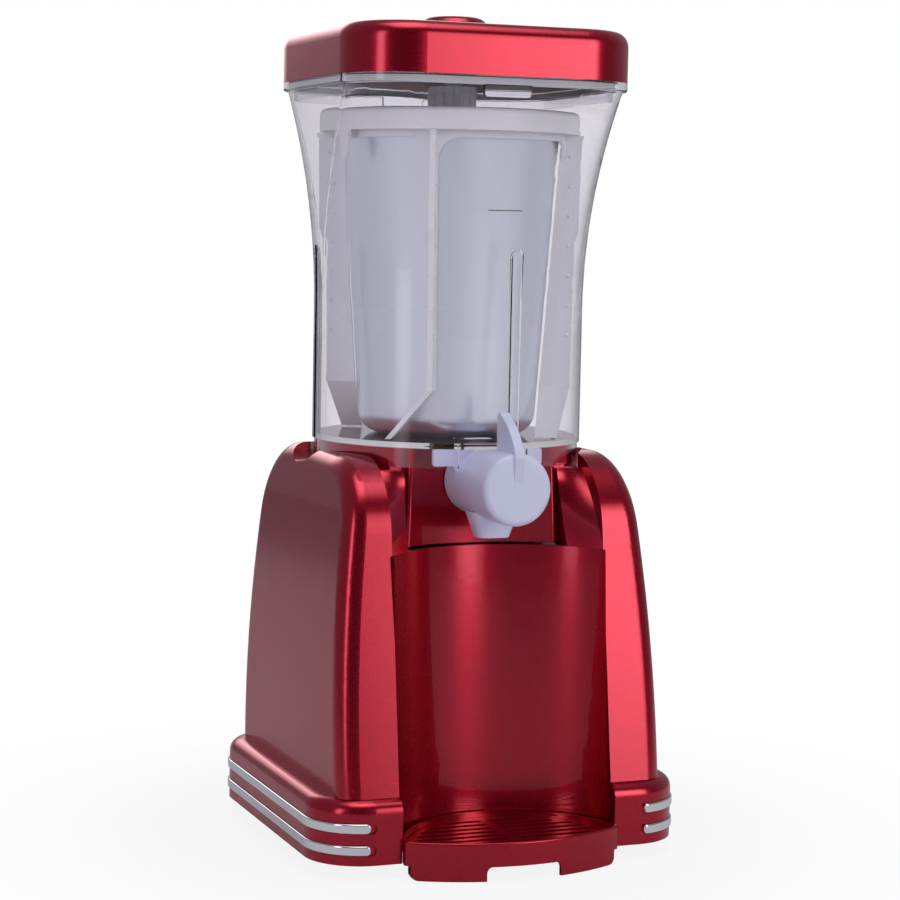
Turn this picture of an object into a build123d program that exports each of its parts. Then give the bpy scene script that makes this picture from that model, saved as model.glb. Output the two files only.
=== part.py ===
"""Countertop slush machine: a red plinth and two cheeks carry a clear container with an ice canister.

A geared motor under the container turns a spindle, and the spindle turns a cage of scraper arms
round the ice canister. A turn tap at the front empties the container over a pull-out drip tray.
Units are millimetres, +Z is up, -Y is the front and +X the right-hand side from the front.
Every piece is modelled about the container's axis. It is then placed so that the origin is the
centre of the footprint on the table.
"""
import math
import os

from build123d import *

os.makedirs("parts", exist_ok=True)

# ---------------------------------------------------------------- driving dimensions
WALL = 2.5              # wall of the moulded housings
DECK_Z = 215.6          # the deck that carries the container
RIM_Z = 404.0           # underside of the container's rim
FIT = 0.3               # gap between pieces that lift apart
RUN = 0.05              # radial clearance of a running shaft

# plinth
FOOT_H = 7.6            # height of the plinth above the table
PLINTH_HALF_W = 102.7
PLINTH_FRONT = 103.3
PLINTH_BACK = 88.1
PLINTH_CORNER = 29.0
PLINTH_H = 33.0
PLINTH_EDGE = 7.0       # round on the plinth's top edge
PLATE_T = 2.5           # bottom plate
RUBBER_R = 9.0          # rubber feet
RUBBER_X = 66.0
RUBBER_FRONT = 62.0
RUBBER_BACK = 50.0

MOUTH_HALF_W = 50.0     # opening in the plinth's top
MOUTH_FRONT = 40.0
MOUTH_BACK = 70.0

# screws
SCREW_R = 1.5
SCREW_L = 10.0
SCREW_HEAD_R = 3.0
SCREW_HEAD_H = 2.0
BOSS_WALL_R = 4.5
BASE_SCREW_X = 84.0
BASE_SCREW_FRONT = 70.0
BASE_SCREW_BACK = 60.0
CHEEK_SCREW_X = 66.0
CHEEK_SCREW_FRONT = 68.0
CHEEK_SCREW_BACK = 56.0
REAR_SCREW_X = 53.0
REAR_SCREW_ZS = (64.0, 150.0)

# chrome stripes
STRIPE_H = 5.0
STRIPE_PROUD = 0.9
STRIPE_DEPTH = 1.1
STRIPE_LOW = 5.4        # lower stripe's lower edge above the plinth's underside
STRIPE_PITCH = 11.3
STRIPE_END_X = 76.5     # where each stripe ends, left and right of the middle

# cheeks
CHEEK_IN_X = 59.5       # inner face
CHEEK_FOOT_X = 91.0     # outer face at the plinth
CHEEK_KNEE_X = 85.4     # outer face at about two thirds of its height
CHEEK_KNEE_Z = 161.0
CHEEK_TOP_X = 78.6      # outer face at the top
CHEEK_TOP_Z = DECK_Z - 4.1
CHEEK_FRONT_FOOT = 97.2     # front edge at the plinth
CHEEK_FRONT_TOP = 74.0      # front edge carried up to the top line
CHEEK_BACK_FOOT = 82.0
CHEEK_BACK_TOP = 76.0
CHEEK_ARCH_R = 43.0
CHEEK_EDGE_R = 10.8
SCALLOP_R = 26.0        # finger scallop in the top of each cheek
SCALLOP_Y = 14.0
SCALLOP_LOW_Z = DECK_Z - 13.6

# alcove between the cheeks
ALCOVE_LOW_R = 64.5
ALCOVE_LOW_BACK = 56.0      # how far the alcove wall is in front of the axis, at the foot
ALCOVE_HIGH_R = 69.0
ALCOVE_HIGH_BACK = 49.5
ALCOVE_GAP = 0.8            # shadow gap under the head

# head
HEAD_Z = DECK_Z - 52.0
DECK_T = 3.0
TURRET_R = 69.6
RECESS_Z = DECK_Z - 12.0        # floor of the ring-shaped recess round the turret
PANEL_R = 77.0          # concave front panel
PANEL_MID_Y = 44.0      # middle of the front panel in front of the axis
PANEL_EDGE_X = 43.7     # front edges of the head at the bottom
PANEL_EDGE_TOP_X = 41.4
PANEL_EDGE_R = 2.2
HEAD_SLOT_D = 8.0       # shadow slot between the head's front and its shoulders
HEAD_SLOT_W = 1.6
SHOULDER_BEND_Z = DECK_Z - 30.6
SHOULDER_BACK = 30.0
# inner and outer edge of a shoulder in front of the axis: at the foot, at the bend, at the deck
SHOULDER_EDGES = ((66.0, 81.0), (58.0, 67.0), (52.0, 36.0))

# container
BOWL_R = 73.2
BOWL_WALL = 2.2
BOWL_FLARE_Z = 288.0    # the flare starts here
BOWL_RIM_HALF = 77.5    # half the width of the squared top
BOWL_RIM_CORNER = 33.0
FLOOR_T = 3.0
SKIRT_R = 72.2
SKIRT_WALL = 2.2
SKIRT_Z = DECK_Z - 10.0
RIM_T = 4.6
RIM_HALF = 80.0
RIM_CORNER = 35.0
LUG_W = 26.0
LUG_DROP = 6.0
LUG_T = 3.0
RIB_TOP_Z = 320.6
RIB_R = 5.0
RIB_IN = 1.4            # how far a rib stands into the container
GROOVE_R = 3.4
RIB_TURNS = (8.0, 98.0, 188.0, 262.0)   # degrees from the front to each rib
COLLAR_R = 8.0
COLLAR_H = 3.0
BOSS_R = 9.0
BOSS_Z = DECK_Z - 11.6

# tap
TAP_Z = DECK_Z - 18.0
BARREL_R = 18.2
BARREL_BORE_R = 14.3
BARREL_BACK = 46.2
TAP_RUN = 1.2                               # room round the tap in the head's notch
DUCT_RUN = 2.2                              # room behind its duct there
BARREL_FRONT = 78.6
KNOB_R = 18.8
KNOB_FRONT = 104.0
KNOB_ROUND = 3.0
FIN_T = 5.0
FIN_TOP_Z = 236.0
DUCT_R = 14.0
DUCT_BORE_R = 10.5
DUCT_BACK = 33.0
DUCT_FRONT = 61.5
PORT_R = 4.2
PORT_Y = 69.0
NOZZLE_Z = TAP_Z - 28.0
NOZZLE_LOW = (17.5, 12.0)
NOZZLE_HIGH = (27.5, 17.0)
NOZZLE_WALL = 1.6
CLIP_HALF_W = 30.3
CLIP_LOW_Z = TAP_Z + 5.4
CLIP_H = 12.4
CLIP_EAR_UP = 3.4       # the ears' outer parts start this much higher
CLIP_EAR_IN_X = 18.5
CLIP_T = 2.6
CLIP_Y = 61.2

# spindle and ice canister
SPINDLE_R = 4.0
BUSH_R = 6.0
CAN_WALL = 1.2
CAN_LOW_R = 47.7
CAN_LIP_R = 58.9
CAN_TOP_Z = RIM_Z - 20.0
CAN_EDGE_R = 12.0
CAN_TUBE_R = 8.5        # bore of the centre tube
CAP_T = 2.4
CAP_PLUG = 7.0

# scraper cage
CAGE_R = 70.0
CAGE_TOP_Z = RIM_Z - 10.6
CAGE_PLATE_T = 2.0
CAGE_BAND_H = 11.8
CAGE_RING_R = 62.6      # inner ring that the window arches spring from
CAGE_RING_H = 15.5
SCRAPE_GAP = 1.5
ARM_T = 3.0
ARM_TOP_R = 72.4
ARM_MID_R = 70.4
ARM_STEP_Z = 323.6
ARM_STEP_R = 68.4
ARM_LOW_R = 67.3
ARM_FOOT_Z = 245.6
ARM_FRONT_TURN = -29.0  # degrees of the front arm from the front
ARM_COUNT = 4
ARCH_R = 12.0
COVER_EDGE_R = 3.0
DRIVE_LUG_T = 1.8
HOOK_TURNS = (-76.0, 84.0)     # degrees of the two hooks from the front
FOOT_SHIFT = 22.0       # how far a foot trails behind its arm
FOOT_TIP_R = 62.5
FOOT_GAP = 0.7
HUB_R = 13.0
HUB_Z = CAGE_TOP_Z + 2.6
HUB_H = 10.6
HUB_FLUTES = 16
NECK_R = 5.8
DRIVE_SQUARE = 5.4      # across the flats of the spindle's square end
JOURNAL_R = 5.0
JOURNAL_H = 4.5

# lid
LID_H = 26.7            # the lid's height over its lower edge
LID_EDGE_R = 8.0
LID_WALL = 2.4
BUTTON_R = 18.5
BUTTON_H = 8.4
PLUG_DROP = 5.0         # how far the liner's skirt reaches below the rim
PLUG_WALL = 2.0
LINER_UP = 10.1         # the liner's plate above the lid's lower edge
GASKET_H = 3.4
STEADY_R = 8.5

# drive train
MODULE = 1.0
PRESSURE_ANGLE = math.radians(20)
ADDENDUM = 0.8          # stub teeth, in modules
DEDENDUM = 1.05
PINION_TEETH = 12
WHEEL_TEETH = 48
SMALL_TEETH = 14
OUTPUT_TEETH = 56
BACKLASH = 0.16
GEARBOX_Z = DECK_Z - 63.6
GEARBOX_TOP_Z = GEARBOX_Z + 24.8
GEARBOX_WALL = 2.4
GEARBOX_GAP = 1.6       # room round the gears
GEARBOX_EAR_X = 37.0
GEARBOX_EAR_FRONT = 20.0
GEARBOX_EAR_BACK = 46.0
LOW_GEAR_Z = GEARBOX_Z + 5.4
LOW_GEAR_H = 6.0
HIGH_GEAR_Z = GEARBOX_Z + 14.0
HIGH_GEAR_H = 8.0
MOTOR_TURN = 152.0      # degrees from +X to the motor, seen from the intermediate wheel
MOTOR_R = 18.0
MOTOR_H = 57.0
MOTOR_SHAFT_R = 1.6
WHEEL_PIN_R = 2.5
DOG_COUNT = 3
DOG_SPAN = 52.0
DOG_H = 5.2
CLUTCH_R = 12.5
CLUTCH_T = 4.6
DOG_GAP = 0.4           # end gap between the halves of the clutch

MOTOR_NECK_R = 6.0
MOTOR_SCREW_R = 12.0

# drip tray
TRAY_TIP_R = 3.0
NOTCH_R = 3.5
GRILLE_LEDGE = 2.0
GRILLE_EDGE = 3.6
TRAY_FOOT_R = 4.0
TRAY_FOOT_X = 26.0
TRAY_FOOT_IN = 12.0
TRAY_RIM_Z = 20.0
TRAY_FRONT = 125.0
TRAY_FRONT_R = 112.5
TRAY_BACK = 57.5
TRAY_BACK_R = 61.0
TRAY_WALL = 2.2
TRAY_SKIRT_IN = 0.5     # the foot stands this far inside the rim
NOTCH_HALF_W = 20.5
FOOT_OUT_X = 57.0
FOOT_CORNER_R = 3.5
GRILLE_T = 2.4
GRILLE_DOWN = 2.6
SLOT_PITCH = 7.5
SLOT_W = 3.8
SLOT_ROWS = 7
GRILLE_RIB = 5.0

# back
SWITCH_X = -32.0
SWITCH_Z = 62.0
SWITCH_W = 21.0
SWITCH_H = 15.0
INLET_X = 34.0
INLET_Z = 54.0
INLET_R = 5.5
VENT_ROWS = 6
VENT_PITCH = 8.0
VENT_LOW_Z = 104.0
VENT_W = 52.0
VENT_H = 4.2
SWITCH_D = 12.0
SWITCH_WALL = 1.6
ROCKER_PIVOT_IN = 2.0
ROCKER_GAP = 1.3

# ---------------------------------------------------------------- derived
AXIS_Y = (TRAY_FRONT - PLINTH_BACK - STRIPE_PROUD) / 2      # the axis is this far behind the origin
PLINTH_TOP_Z = FOOT_H + PLINTH_H
FLOOR_Z = DECK_Z + FIT + FLOOR_T            # the container's inner floor
SEAT_Z = DECK_Z + FIT
LID_Z = RIM_Z + RIM_T + FIT
LID_TOP_Z = LID_Z + LID_H
LINER_Z = LID_Z + LINER_UP
PLUG_Z = RIM_Z - PLUG_DROP
HIGH = 600.0                                # longer than any cut needs


# ---------------------------------------------------------------- plain shapes
def block(x0, x1, y0, y1, z0, z1):
    """Box between two corners."""
    return Pos((x0 + x1) / 2, (y0 + y1) / 2, (z0 + z1) / 2) * Box(x1 - x0, y1 - y0, z1 - z0)


def rod_z(r, z0, z1, x=0.0, y=0.0):
    """Upright cylinder."""
    return Pos(x, y, (z0 + z1) / 2) * Cylinder(r, z1 - z0)


def rod_y(r, y0, y1, x=0.0, z=0.0):
    """Cylinder along Y."""
    return Pos(x, (y0 + y1) / 2, z) * Rot(90, 0, 0) * Cylinder(r, y1 - y0)


def turned(points):
    """Solid of revolution about Z from (radius, height) corners."""
    return revolve(Plane.XZ * make_face(Polyline(*points, close=True)), Axis.Z)


def rounded_block(half_x, y0, y1, corner, z0, z1):
    """Block with rounded upright edges, symmetric left and right."""
    plan = RectangleRounded(2 * half_x, y1 - y0, corner)
    return Pos(0, (y0 + y1) / 2, z0) * extrude(plan, z1 - z0)


def spread(shape, turns):
    """One copy of a shape at each turn about Z."""
    return [Rot(0, 0, turn) * shape for turn in turns]


def save(name, *shapes):
    """Write one sub-part, moved from the container's axis to the part's own frame."""
    solids = [solid for shape in shapes for solid in shape.solids()]
    placed = [Pos(0, AXIS_Y, 0) * solid for solid in solids]
    export_step(placed[0] if len(placed) == 1 else Compound(placed), f"parts/{name}.step")


def screw_up(x, y, z, length=0.0):
    """Pan-head screw driven upwards; z is the face its head bears on."""
    length = length or SCREW_L
    head = rod_z(SCREW_HEAD_R, z - SCREW_HEAD_H, z, x, y)
    head = head - rod_z(SCREW_R * 0.7, z - SCREW_HEAD_H - 1, z - SCREW_HEAD_H / 2, x, y)
    return head + rod_z(SCREW_R - RUN, z, z + length - FIT, x, y)


# ---------------------------------------------------------------- alcove and cheeks
def alcove_void(grow=0.0, side_grow=0.0, top=DECK_Z):
    """The space in front of the alcove wall, which leans back a little as it rises."""
    low = Pos(0, ALCOVE_LOW_R - ALCOVE_LOW_BACK - 2 * ALCOVE_LOW_R, 0)
    high = Pos(0, ALCOVE_HIGH_R - ALCOVE_HIGH_BACK - 2 * ALCOVE_HIGH_R, HEAD_Z)
    tube = loft([low * Circle(ALCOVE_LOW_R + grow), high * Circle(ALCOVE_HIGH_R + grow)])
    half_x = CHEEK_IN_X + side_grow
    slot = block(-half_x, half_x, -HIGH, 0, -1, top)
    return tube & slot


def side_outline(inset, foot_z):
    """Side view of the cheeks and of the rear panel between them."""
    top_z = CHEEK_TOP_Z - inset
    face = make_face(Polyline(
        (-CHEEK_FRONT_FOOT + inset, foot_z),
        (-CHEEK_FRONT_TOP + inset, top_z),
        (CHEEK_BACK_TOP - inset, top_z),
        (CHEEK_BACK_FOOT - inset, foot_z),
        close=True,
    ))
    return fillet(face.vertices().group_by(Axis.Y)[-1], CHEEK_ARCH_R - inset)


def rear_inside_y(z):
    """Inner face of the rear panel at a height below its arch."""
    lean = (CHEEK_BACK_FOOT - CHEEK_BACK_TOP) / (CHEEK_TOP_Z - PLINTH_TOP_Z)
    return CHEEK_BACK_FOOT - WALL - lean * (z - PLINTH_TOP_Z)


def cheek_form(inset=0.0, foot_z=PLINTH_TOP_Z):
    """Right cheek as a solid: a tall arch that leans in, with its outer edge rounded."""
    top_z = CHEEK_TOP_Z - inset
    side = side_outline(inset, foot_z)
    foot = (CHEEK_FOOT_X - inset, foot_z)
    top = (CHEEK_TOP_X - inset, top_z)
    outer_line = ThreePointArc(foot, (CHEEK_KNEE_X - inset, CHEEK_KNEE_Z), top)
    inner_line = Polyline(top, (CHEEK_IN_X + inset, top_z), (CHEEK_IN_X + inset, foot_z), foot)
    front = make_face(outer_line + inner_line)
    form = extrude(Plane.YZ * side, HIGH) & extrude(Plane.XZ * front, HIGH, both=True)
    outer = form.faces().sort_by(Axis.X)[-1:]
    rim = [e for f in outer for e in f.edges() if e.center().Z > foot_z + 1]
    seen = {}
    for e in rim:
        key = tuple(round(v, 3) for v in e.center())
        seen.setdefault(key, []).append(e)
    rim = [group[0] for group in seen.values() if len(group) == 1]
    return fillet(rim, CHEEK_EDGE_R - inset)


def scallop(grow=0.0):
    """Finger scallop across the top of a cheek, and the ring recess round the container's skirt."""
    dip = Pos(0, SCALLOP_Y, SCALLOP_LOW_Z + SCALLOP_R) * Rot(0, 90, 0) * Cylinder(SCALLOP_R + grow, HIGH)
    ring = rod_z(SKIRT_R + 2.6 + grow, RECESS_Z - grow, HIGH)
    return dip + ring


def cheek():
    """Hollow right cheek with two screw bosses at its foot and two lugs for the rear panel."""
    shell = cheek_form() - scallop()
    hollow = cheek_form(WALL, PLINTH_TOP_Z - 1) - scallop(WALL)
    shell = shell - hollow
    for y in (-CHEEK_SCREW_FRONT, CHEEK_SCREW_BACK):
        boss = rod_z(BOSS_WALL_R, PLINTH_TOP_Z, PLINTH_TOP_Z + SCREW_L + WALL, CHEEK_SCREW_X, y)
        shell = shell + (boss - rod_z(SCREW_R, 0, PLINTH_TOP_Z + SCREW_L, CHEEK_SCREW_X, y))
    for z in REAR_SCREW_ZS:
        back = rear_inside_y(z) - FIT
        lug = block(
            REAR_SCREW_X - BOSS_WALL_R, CHEEK_IN_X + 1,
            back - SCREW_L - WALL, back,
            z - BOSS_WALL_R, z + BOSS_WALL_R,
        )
        shell = shell + (lug - rod_y(SCREW_R, back - SCREW_L, HIGH, REAR_SCREW_X, z))
    return shell


right_cheek = cheek()
save("right_cheek", right_cheek)
save("left_cheek", mirror(right_cheek, Plane.YZ))


# ---------------------------------------------------------------- plinth
def plinth_outline(grow, z0, z1):
    """The plinth's rounded outline, grown or shrunk evenly."""
    return rounded_block(
        PLINTH_HALF_W + grow, -PLINTH_FRONT - grow, PLINTH_BACK + grow, PLINTH_CORNER + grow, z0, z1
    )


def stripe(low_z):
    """One chrome bead from the front, round two corners, to the back. Right-hand side."""
    high_z = low_z + STRIPE_H
    bead = plinth_outline(STRIPE_PROUD, low_z, high_z)
    bead = bead - plinth_outline(-STRIPE_DEPTH, low_z - 1, high_z + 1)
    bead = bead & block(STRIPE_END_X, HIGH, -HIGH, HIGH, low_z - 1, high_z + 1)
    ends = bead.edges().filter_by(Axis.Y).filter_by(lambda e: e.center().X < STRIPE_END_X + 0.1)
    bead = fillet(ends, STRIPE_H * 0.45)
    outer = bead.edges().filter_by(lambda e: abs(e.center().Z - low_z - STRIPE_H / 2) > STRIPE_H / 2 - 0.1)
    outer = outer.filter_by(lambda e: outline_reach(e.center()) > -STRIPE_DEPTH / 2)
    outer = outer.filter_by(lambda e: e.length > 2 * STRIPE_H)
    return fillet(outer, STRIPE_PROUD * 0.9)


def outline_reach(point):
    """How far a point lies outside the plinth's outline."""
    mid_y = (PLINTH_BACK - PLINTH_FRONT) / 2
    dx = abs(point.X) - (PLINTH_HALF_W - PLINTH_CORNER)
    dy = abs(point.Y - mid_y) - ((PLINTH_BACK + PLINTH_FRONT) / 2 - PLINTH_CORNER)
    if dx > 0 and dy > 0:
        return math.hypot(dx, dy) - PLINTH_CORNER
    return max(dx, dy) - PLINTH_CORNER


STRIPE_LOWS = [FOOT_H + STRIPE_LOW + k * STRIPE_PITCH for k in range(2)]

plinth = plinth_outline(0, FOOT_H, PLINTH_TOP_Z)
plinth = fillet(plinth.edges().group_by(Axis.Z)[-1], PLINTH_EDGE)
plinth_hollow = plinth_outline(-WALL, FOOT_H - 1, PLINTH_TOP_Z - WALL)
plinth_hollow = fillet(plinth_hollow.edges().group_by(Axis.Z)[-1], PLINTH_EDGE - WALL)
# the top is open in the middle, where the wiring passes
plinth_mouth = rounded_block(MOUTH_HALF_W, -MOUTH_FRONT, MOUTH_BACK, CHEEK_EDGE_R, 2 * FOOT_H, PLINTH_TOP_Z + 1)
plinth = plinth - (plinth_hollow + plinth_mouth - alcove_void(2 * WALL, WALL))
plinth = plinth - alcove_void(WALL)
rubber_spots = [(sx * RUBBER_X, y) for sx in (-1, 1) for y in (-RUBBER_FRONT, RUBBER_BACK)]
base_screw_spots = [
    (sx * BASE_SCREW_X, y) for sx in (-1, 1) for y in (-BASE_SCREW_FRONT, BASE_SCREW_BACK)
]
cheek_screw_spots = [
    (sx * CHEEK_SCREW_X, y) for sx in (-1, 1) for y in (-CHEEK_SCREW_FRONT, CHEEK_SCREW_BACK)
]
base_boss_z = FOOT_H + FIT + PLATE_T
for x, y in base_screw_spots:
    plinth = plinth + rod_z(BOSS_WALL_R, base_boss_z, PLINTH_TOP_Z - WALL + 1, x, y)
    plinth = plinth - rod_z(SCREW_R, base_boss_z - 1, base_boss_z + SCREW_L, x, y)
for x, y in cheek_screw_spots:
    plinth = plinth - rod_z(SCREW_R, 2 * FOOT_H, PLINTH_TOP_Z + 1, x, y)
# a groove behind each stripe, a little longer and higher than its bead
for low in STRIPE_LOWS:
    groove = plinth_outline(1, low - FIT, low + STRIPE_H + FIT) - plinth_outline(
        -STRIPE_DEPTH - RUN, low - 1, low + STRIPE_H + 1
    )
    groove = groove & block(STRIPE_END_X - 3, HIGH, -HIGH, HIGH, low - 1, low + STRIPE_H + 1)
    ends = groove.edges().filter_by(Axis.Y).filter_by(lambda e: e.center().X < STRIPE_END_X)
    groove = fillet(ends, STRIPE_H * 0.45)
    plinth = plinth - groove - mirror(groove, Plane.YZ)
save("plinth", plinth)

for name, low in zip(("lower", "upper"), STRIPE_LOWS):
    bead = stripe(low)
    save(f"stripe_right_{name}", bead)
    save(f"stripe_left_{name}", mirror(bead, Plane.YZ))


# ---------------------------------------------------------------- forms of the head and its shoulders
def panel_void(grow=0.0):
    """The round space in front of the head's concave front panel."""
    return rod_z(PANEL_R + grow, 0, HIGH, 0, -PANEL_MID_Y - PANEL_R)


def panel_edge_y(x):
    """How far the concave panel is in front of the axis at a distance from the middle."""
    return PANEL_MID_Y + PANEL_R - math.sqrt(PANEL_R**2 - x**2)


def head_edge_x(z):
    """Half the width of the front panel at a height."""
    share = (z - HEAD_Z) / (DECK_Z - HEAD_Z)
    return PANEL_EDGE_X + share * (PANEL_EDGE_TOP_X - PANEL_EDGE_X)


def head_core(inset, z0):
    """The head behind its front panel and behind its two shoulders."""
    layers = []
    for z in (z0, DECK_Z):
        edge_x = head_edge_x(z)
        x = edge_x - inset
        side_x = CHEEK_IN_X - inset
        front = -panel_edge_y(edge_x)
        step = front + HEAD_SLOT_D + inset
        right = [(x, front), (x, step), (side_x, step), (side_x, 0)]
        left = [(-px, py) for px, py in reversed(right)]
        layers.append(Pos(0, 0, z) * make_face(Polyline(*right, *left, close=True)))
    core = loft(layers, ruled=True) - panel_void(inset)
    if inset:
        return core
    edges = core.edges().filter_by(lambda e: e.length > 40 and e.center().Y < -PANEL_MID_Y - 8)
    return fillet(edges, PANEL_EDGE_R)


def shoulder(inset, z0):
    """The right shoulder: it closes the space to the cheek and leans back as it rises."""
    layers = []
    for z, (inner_y, outer_y) in zip((z0, SHOULDER_BEND_Z, DECK_Z), SHOULDER_EDGES):
        x = head_edge_x(z) + HEAD_SLOT_W + inset
        side_x = CHEEK_IN_X - inset
        back = -SHOULDER_BACK
        corners = [(x, back), (x, -inner_y + inset), (side_x, -outer_y + 2 * inset), (side_x, back)]
        layers.append(Pos(0, 0, z) * make_face(Polyline(*corners, close=True)))
    return loft(layers)


# ---------------------------------------------------------------- alcove wall, bottom plate, feet
alcove_top_z = HEAD_Z - ALCOVE_GAP
alcove_panel = alcove_void(WALL, top=alcove_top_z) - alcove_void(0)
alcove_panel = alcove_panel & block(-HIGH, HIGH, -CHEEK_FRONT_FOOT, 0, FOOT_H, alcove_top_z)
alcove_panel = alcove_panel.solids().sort_by(SortBy.VOLUME)[-1]
# the wall runs on upwards beside the head as two hollow shoulders
wing = shoulder(0, alcove_top_z - 1) - shoulder(WALL, alcove_top_z - 2)
wing = wing - head_core(-FIT, alcove_top_z - 2) - rod_z(HIGH, RECESS_Z - FIT, HIGH)
wing = wing.solids().sort_by(SortBy.VOLUME)[-1]
alcove_panel = alcove_panel + wing + mirror(wing, Plane.YZ)
save("alcove_panel", alcove_panel)

plate_z = FOOT_H + FIT
base_plate = plinth_outline(-WALL - FIT, plate_z, plate_z + PLATE_T) - alcove_void(2 * WALL + FIT, WALL + FIT)
rubber_feet = []
for x, y in rubber_spots:
    foot = rod_z(RUBBER_R, 0, plate_z, x, y)
    foot = fillet(foot.edges().group_by(Axis.Z)[0], RUBBER_R / 6)
    rubber_feet.append(foot + rod_z(RUBBER_R / 3 - RUN, plate_z, plate_z + 2 * PLATE_T, x, y))
    base_plate = base_plate - rod_z(RUBBER_R / 3, plate_z - 1, plate_z + 2 * PLATE_T, x, y)
save("rubber_feet", *rubber_feet)
for x, y in base_screw_spots:
    base_plate = base_plate - rod_z(SCREW_R, 0, HIGH, x, y)
save("base_plate", base_plate)
save("base_screws", *[screw_up(x, y, plate_z) for x, y in base_screw_spots])
save("cheek_screws", *[screw_up(x, y, PLINTH_TOP_Z - WALL) for x, y in cheek_screw_spots])


# ---------------------------------------------------------------- head and turret
def tap_notch(grow=0.0):
    """Slot in the head, open at the top, that the tap and its duct drop into."""
    run = TAP_RUN + grow
    barrel_end = -BARREL_BACK + run
    duct_end = -DUCT_BACK + DUCT_RUN + grow
    barrel = rod_y(BARREL_R + run, -HIGH, barrel_end, 0, TAP_Z)
    duct = rod_y(DUCT_R + run, -HIGH, duct_end, 0, TAP_Z)
    above = block(-BARREL_R - run, BARREL_R + run, -HIGH, barrel_end, TAP_Z, HIGH)
    gap = block(-DUCT_R - run, DUCT_R + run, -HIGH, duct_end, TAP_Z, HIGH)
    return barrel + duct + above + gap


def head_form(inset=0.0, z0=HEAD_Z, top_z=DECK_Z):
    """The head between the shoulders, with its round turret."""
    turret = rod_z(HIGH, 0, RECESS_Z - inset) + rod_z(TURRET_R - inset, RECESS_Z - inset - 1, top_z)
    form = head_core(inset, z0) & turret
    turret = rod_z(TURRET_R - inset, RECESS_Z + FIT - inset, top_z)
    turret = turret - block(-HIGH, HIGH, -HIGH, -PANEL_MID_Y, 0, HIGH)
    return form + turret


head = head_form()
hollow = head_form(WALL, HEAD_Z - 1, DECK_Z - DECK_T)
head = head - (hollow - tap_notch(WALL)) - tap_notch()
head = head - rod_z(CLUTCH_R + 2, HEAD_Z, HIGH)
gearbox_spots = [(sx * GEARBOX_EAR_X, y) for sx in (-1, 1) for y in (-GEARBOX_EAR_FRONT, GEARBOX_EAR_BACK)]
ear_top_z = GEARBOX_TOP_Z + GEARBOX_WALL
for x, y in gearbox_spots:
    head = head + rod_z(BOSS_WALL_R, ear_top_z, DECK_Z - DECK_T + 1, x, y)
    head = head - rod_z(SCREW_R, ear_top_z - 1, ear_top_z + SCREW_L, x, y)
save("head_shell", head)

# ---------------------------------------------------------------- rear panel
rear = extrude(Plane.YZ * side_outline(0, PLINTH_TOP_Z), CHEEK_IN_X, both=True)
rear = rear - extrude(Plane.YZ * side_outline(WALL, PLINTH_TOP_Z - 1), CHEEK_IN_X + 1, both=True)
rear = rear & block(-CHEEK_IN_X, CHEEK_IN_X, 0, HIGH, PLINTH_TOP_Z, CHEEK_TOP_Z)
rear = rear - rod_z(SKIRT_R + 2.6, RECESS_Z, HIGH)
rear = rear.solids().sort_by(SortBy.VOLUME)[-1]
rear = rear + (rod_z(SKIRT_R + 2.6, RECESS_Z - WALL, RECESS_Z) - rod_z(TURRET_R - WALL, 0, HIGH)) & block(
    -CHEEK_IN_X, CHEEK_IN_X, 0, HIGH, 0, HIGH
)
for row in range(VENT_ROWS):
    z = VENT_LOW_Z + row * VENT_PITCH
    slot = Pos(0, 0, z) * Rot(90, 0, 0) * extrude(SlotOverall(VENT_W, VENT_H), HIGH / 2, both=True)
    rear = rear - (slot & block(-HIGH, HIGH, PANEL_MID_Y, HIGH, 0, HIGH))
switch_hole = block(
    SWITCH_X - SWITCH_W / 2, SWITCH_X + SWITCH_W / 2,
    PANEL_MID_Y, HIGH,
    SWITCH_Z - SWITCH_H / 2, SWITCH_Z + SWITCH_H / 2,
)
rear = rear - switch_hole - rod_y(INLET_R + WALL / 2, PANEL_MID_Y, HIGH, INLET_X, INLET_Z)
rear_screws = []
for sx in (-1, 1):
    for z in REAR_SCREW_ZS:
        x = sx * REAR_SCREW_X
        face_y = rear_inside_y(z) + WALL + FIT
        rear = rear - rod_y(SCREW_R, PANEL_MID_Y, HIGH, x, z)
        rear_screws.append(
            rod_y(SCREW_HEAD_R, face_y, face_y + SCREW_HEAD_H, x, z)
            - rod_y(SCREW_R * 0.7, face_y + SCREW_HEAD_H / 2, HIGH, x, z)
            + rod_y(SCREW_R - RUN, face_y - WALL - SCREW_L + FIT, face_y, x, z)
        )
rear = rear.solids().sort_by(SortBy.VOLUME)[-1]
save("rear_panel", rear)
save("rear_screws", *rear_screws)

# switch: a bezel set in the rear panel and a rocker that turns in it
bezel_y = rear_inside_y(SWITCH_Z - SWITCH_H) + WALL
bezel = block(
    SWITCH_X - SWITCH_W / 2 + FIT, SWITCH_X + SWITCH_W / 2 - FIT, bezel_y - SWITCH_D, bezel_y + FIT,
    SWITCH_Z - SWITCH_H / 2 + FIT, SWITCH_Z + SWITCH_H / 2 - FIT,
)
flange = block(
    SWITCH_X - SWITCH_W / 2 - 1.5, SWITCH_X + SWITCH_W / 2 + 1.5, bezel_y + FIT, bezel_y + FIT + 1.5,
    SWITCH_Z - SWITCH_H / 2 - 1.5, SWITCH_Z + SWITCH_H / 2 + 1.5,
)
flange = fillet(flange.edges().filter_by(Axis.Y), 2)
rock_w = SWITCH_W - 2 * FIT - 2 * SWITCH_WALL
rock_h = SWITCH_H - 2 * FIT - 2 * SWITCH_WALL
pocket = block(
    SWITCH_X - rock_w / 2, SWITCH_X + rock_w / 2, bezel_y - SWITCH_D + SWITCH_WALL, HIGH,
    SWITCH_Z - rock_h / 2, SWITCH_Z + rock_h / 2,
)
pivot_y = bezel_y - ROCKER_PIVOT_IN
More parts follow.
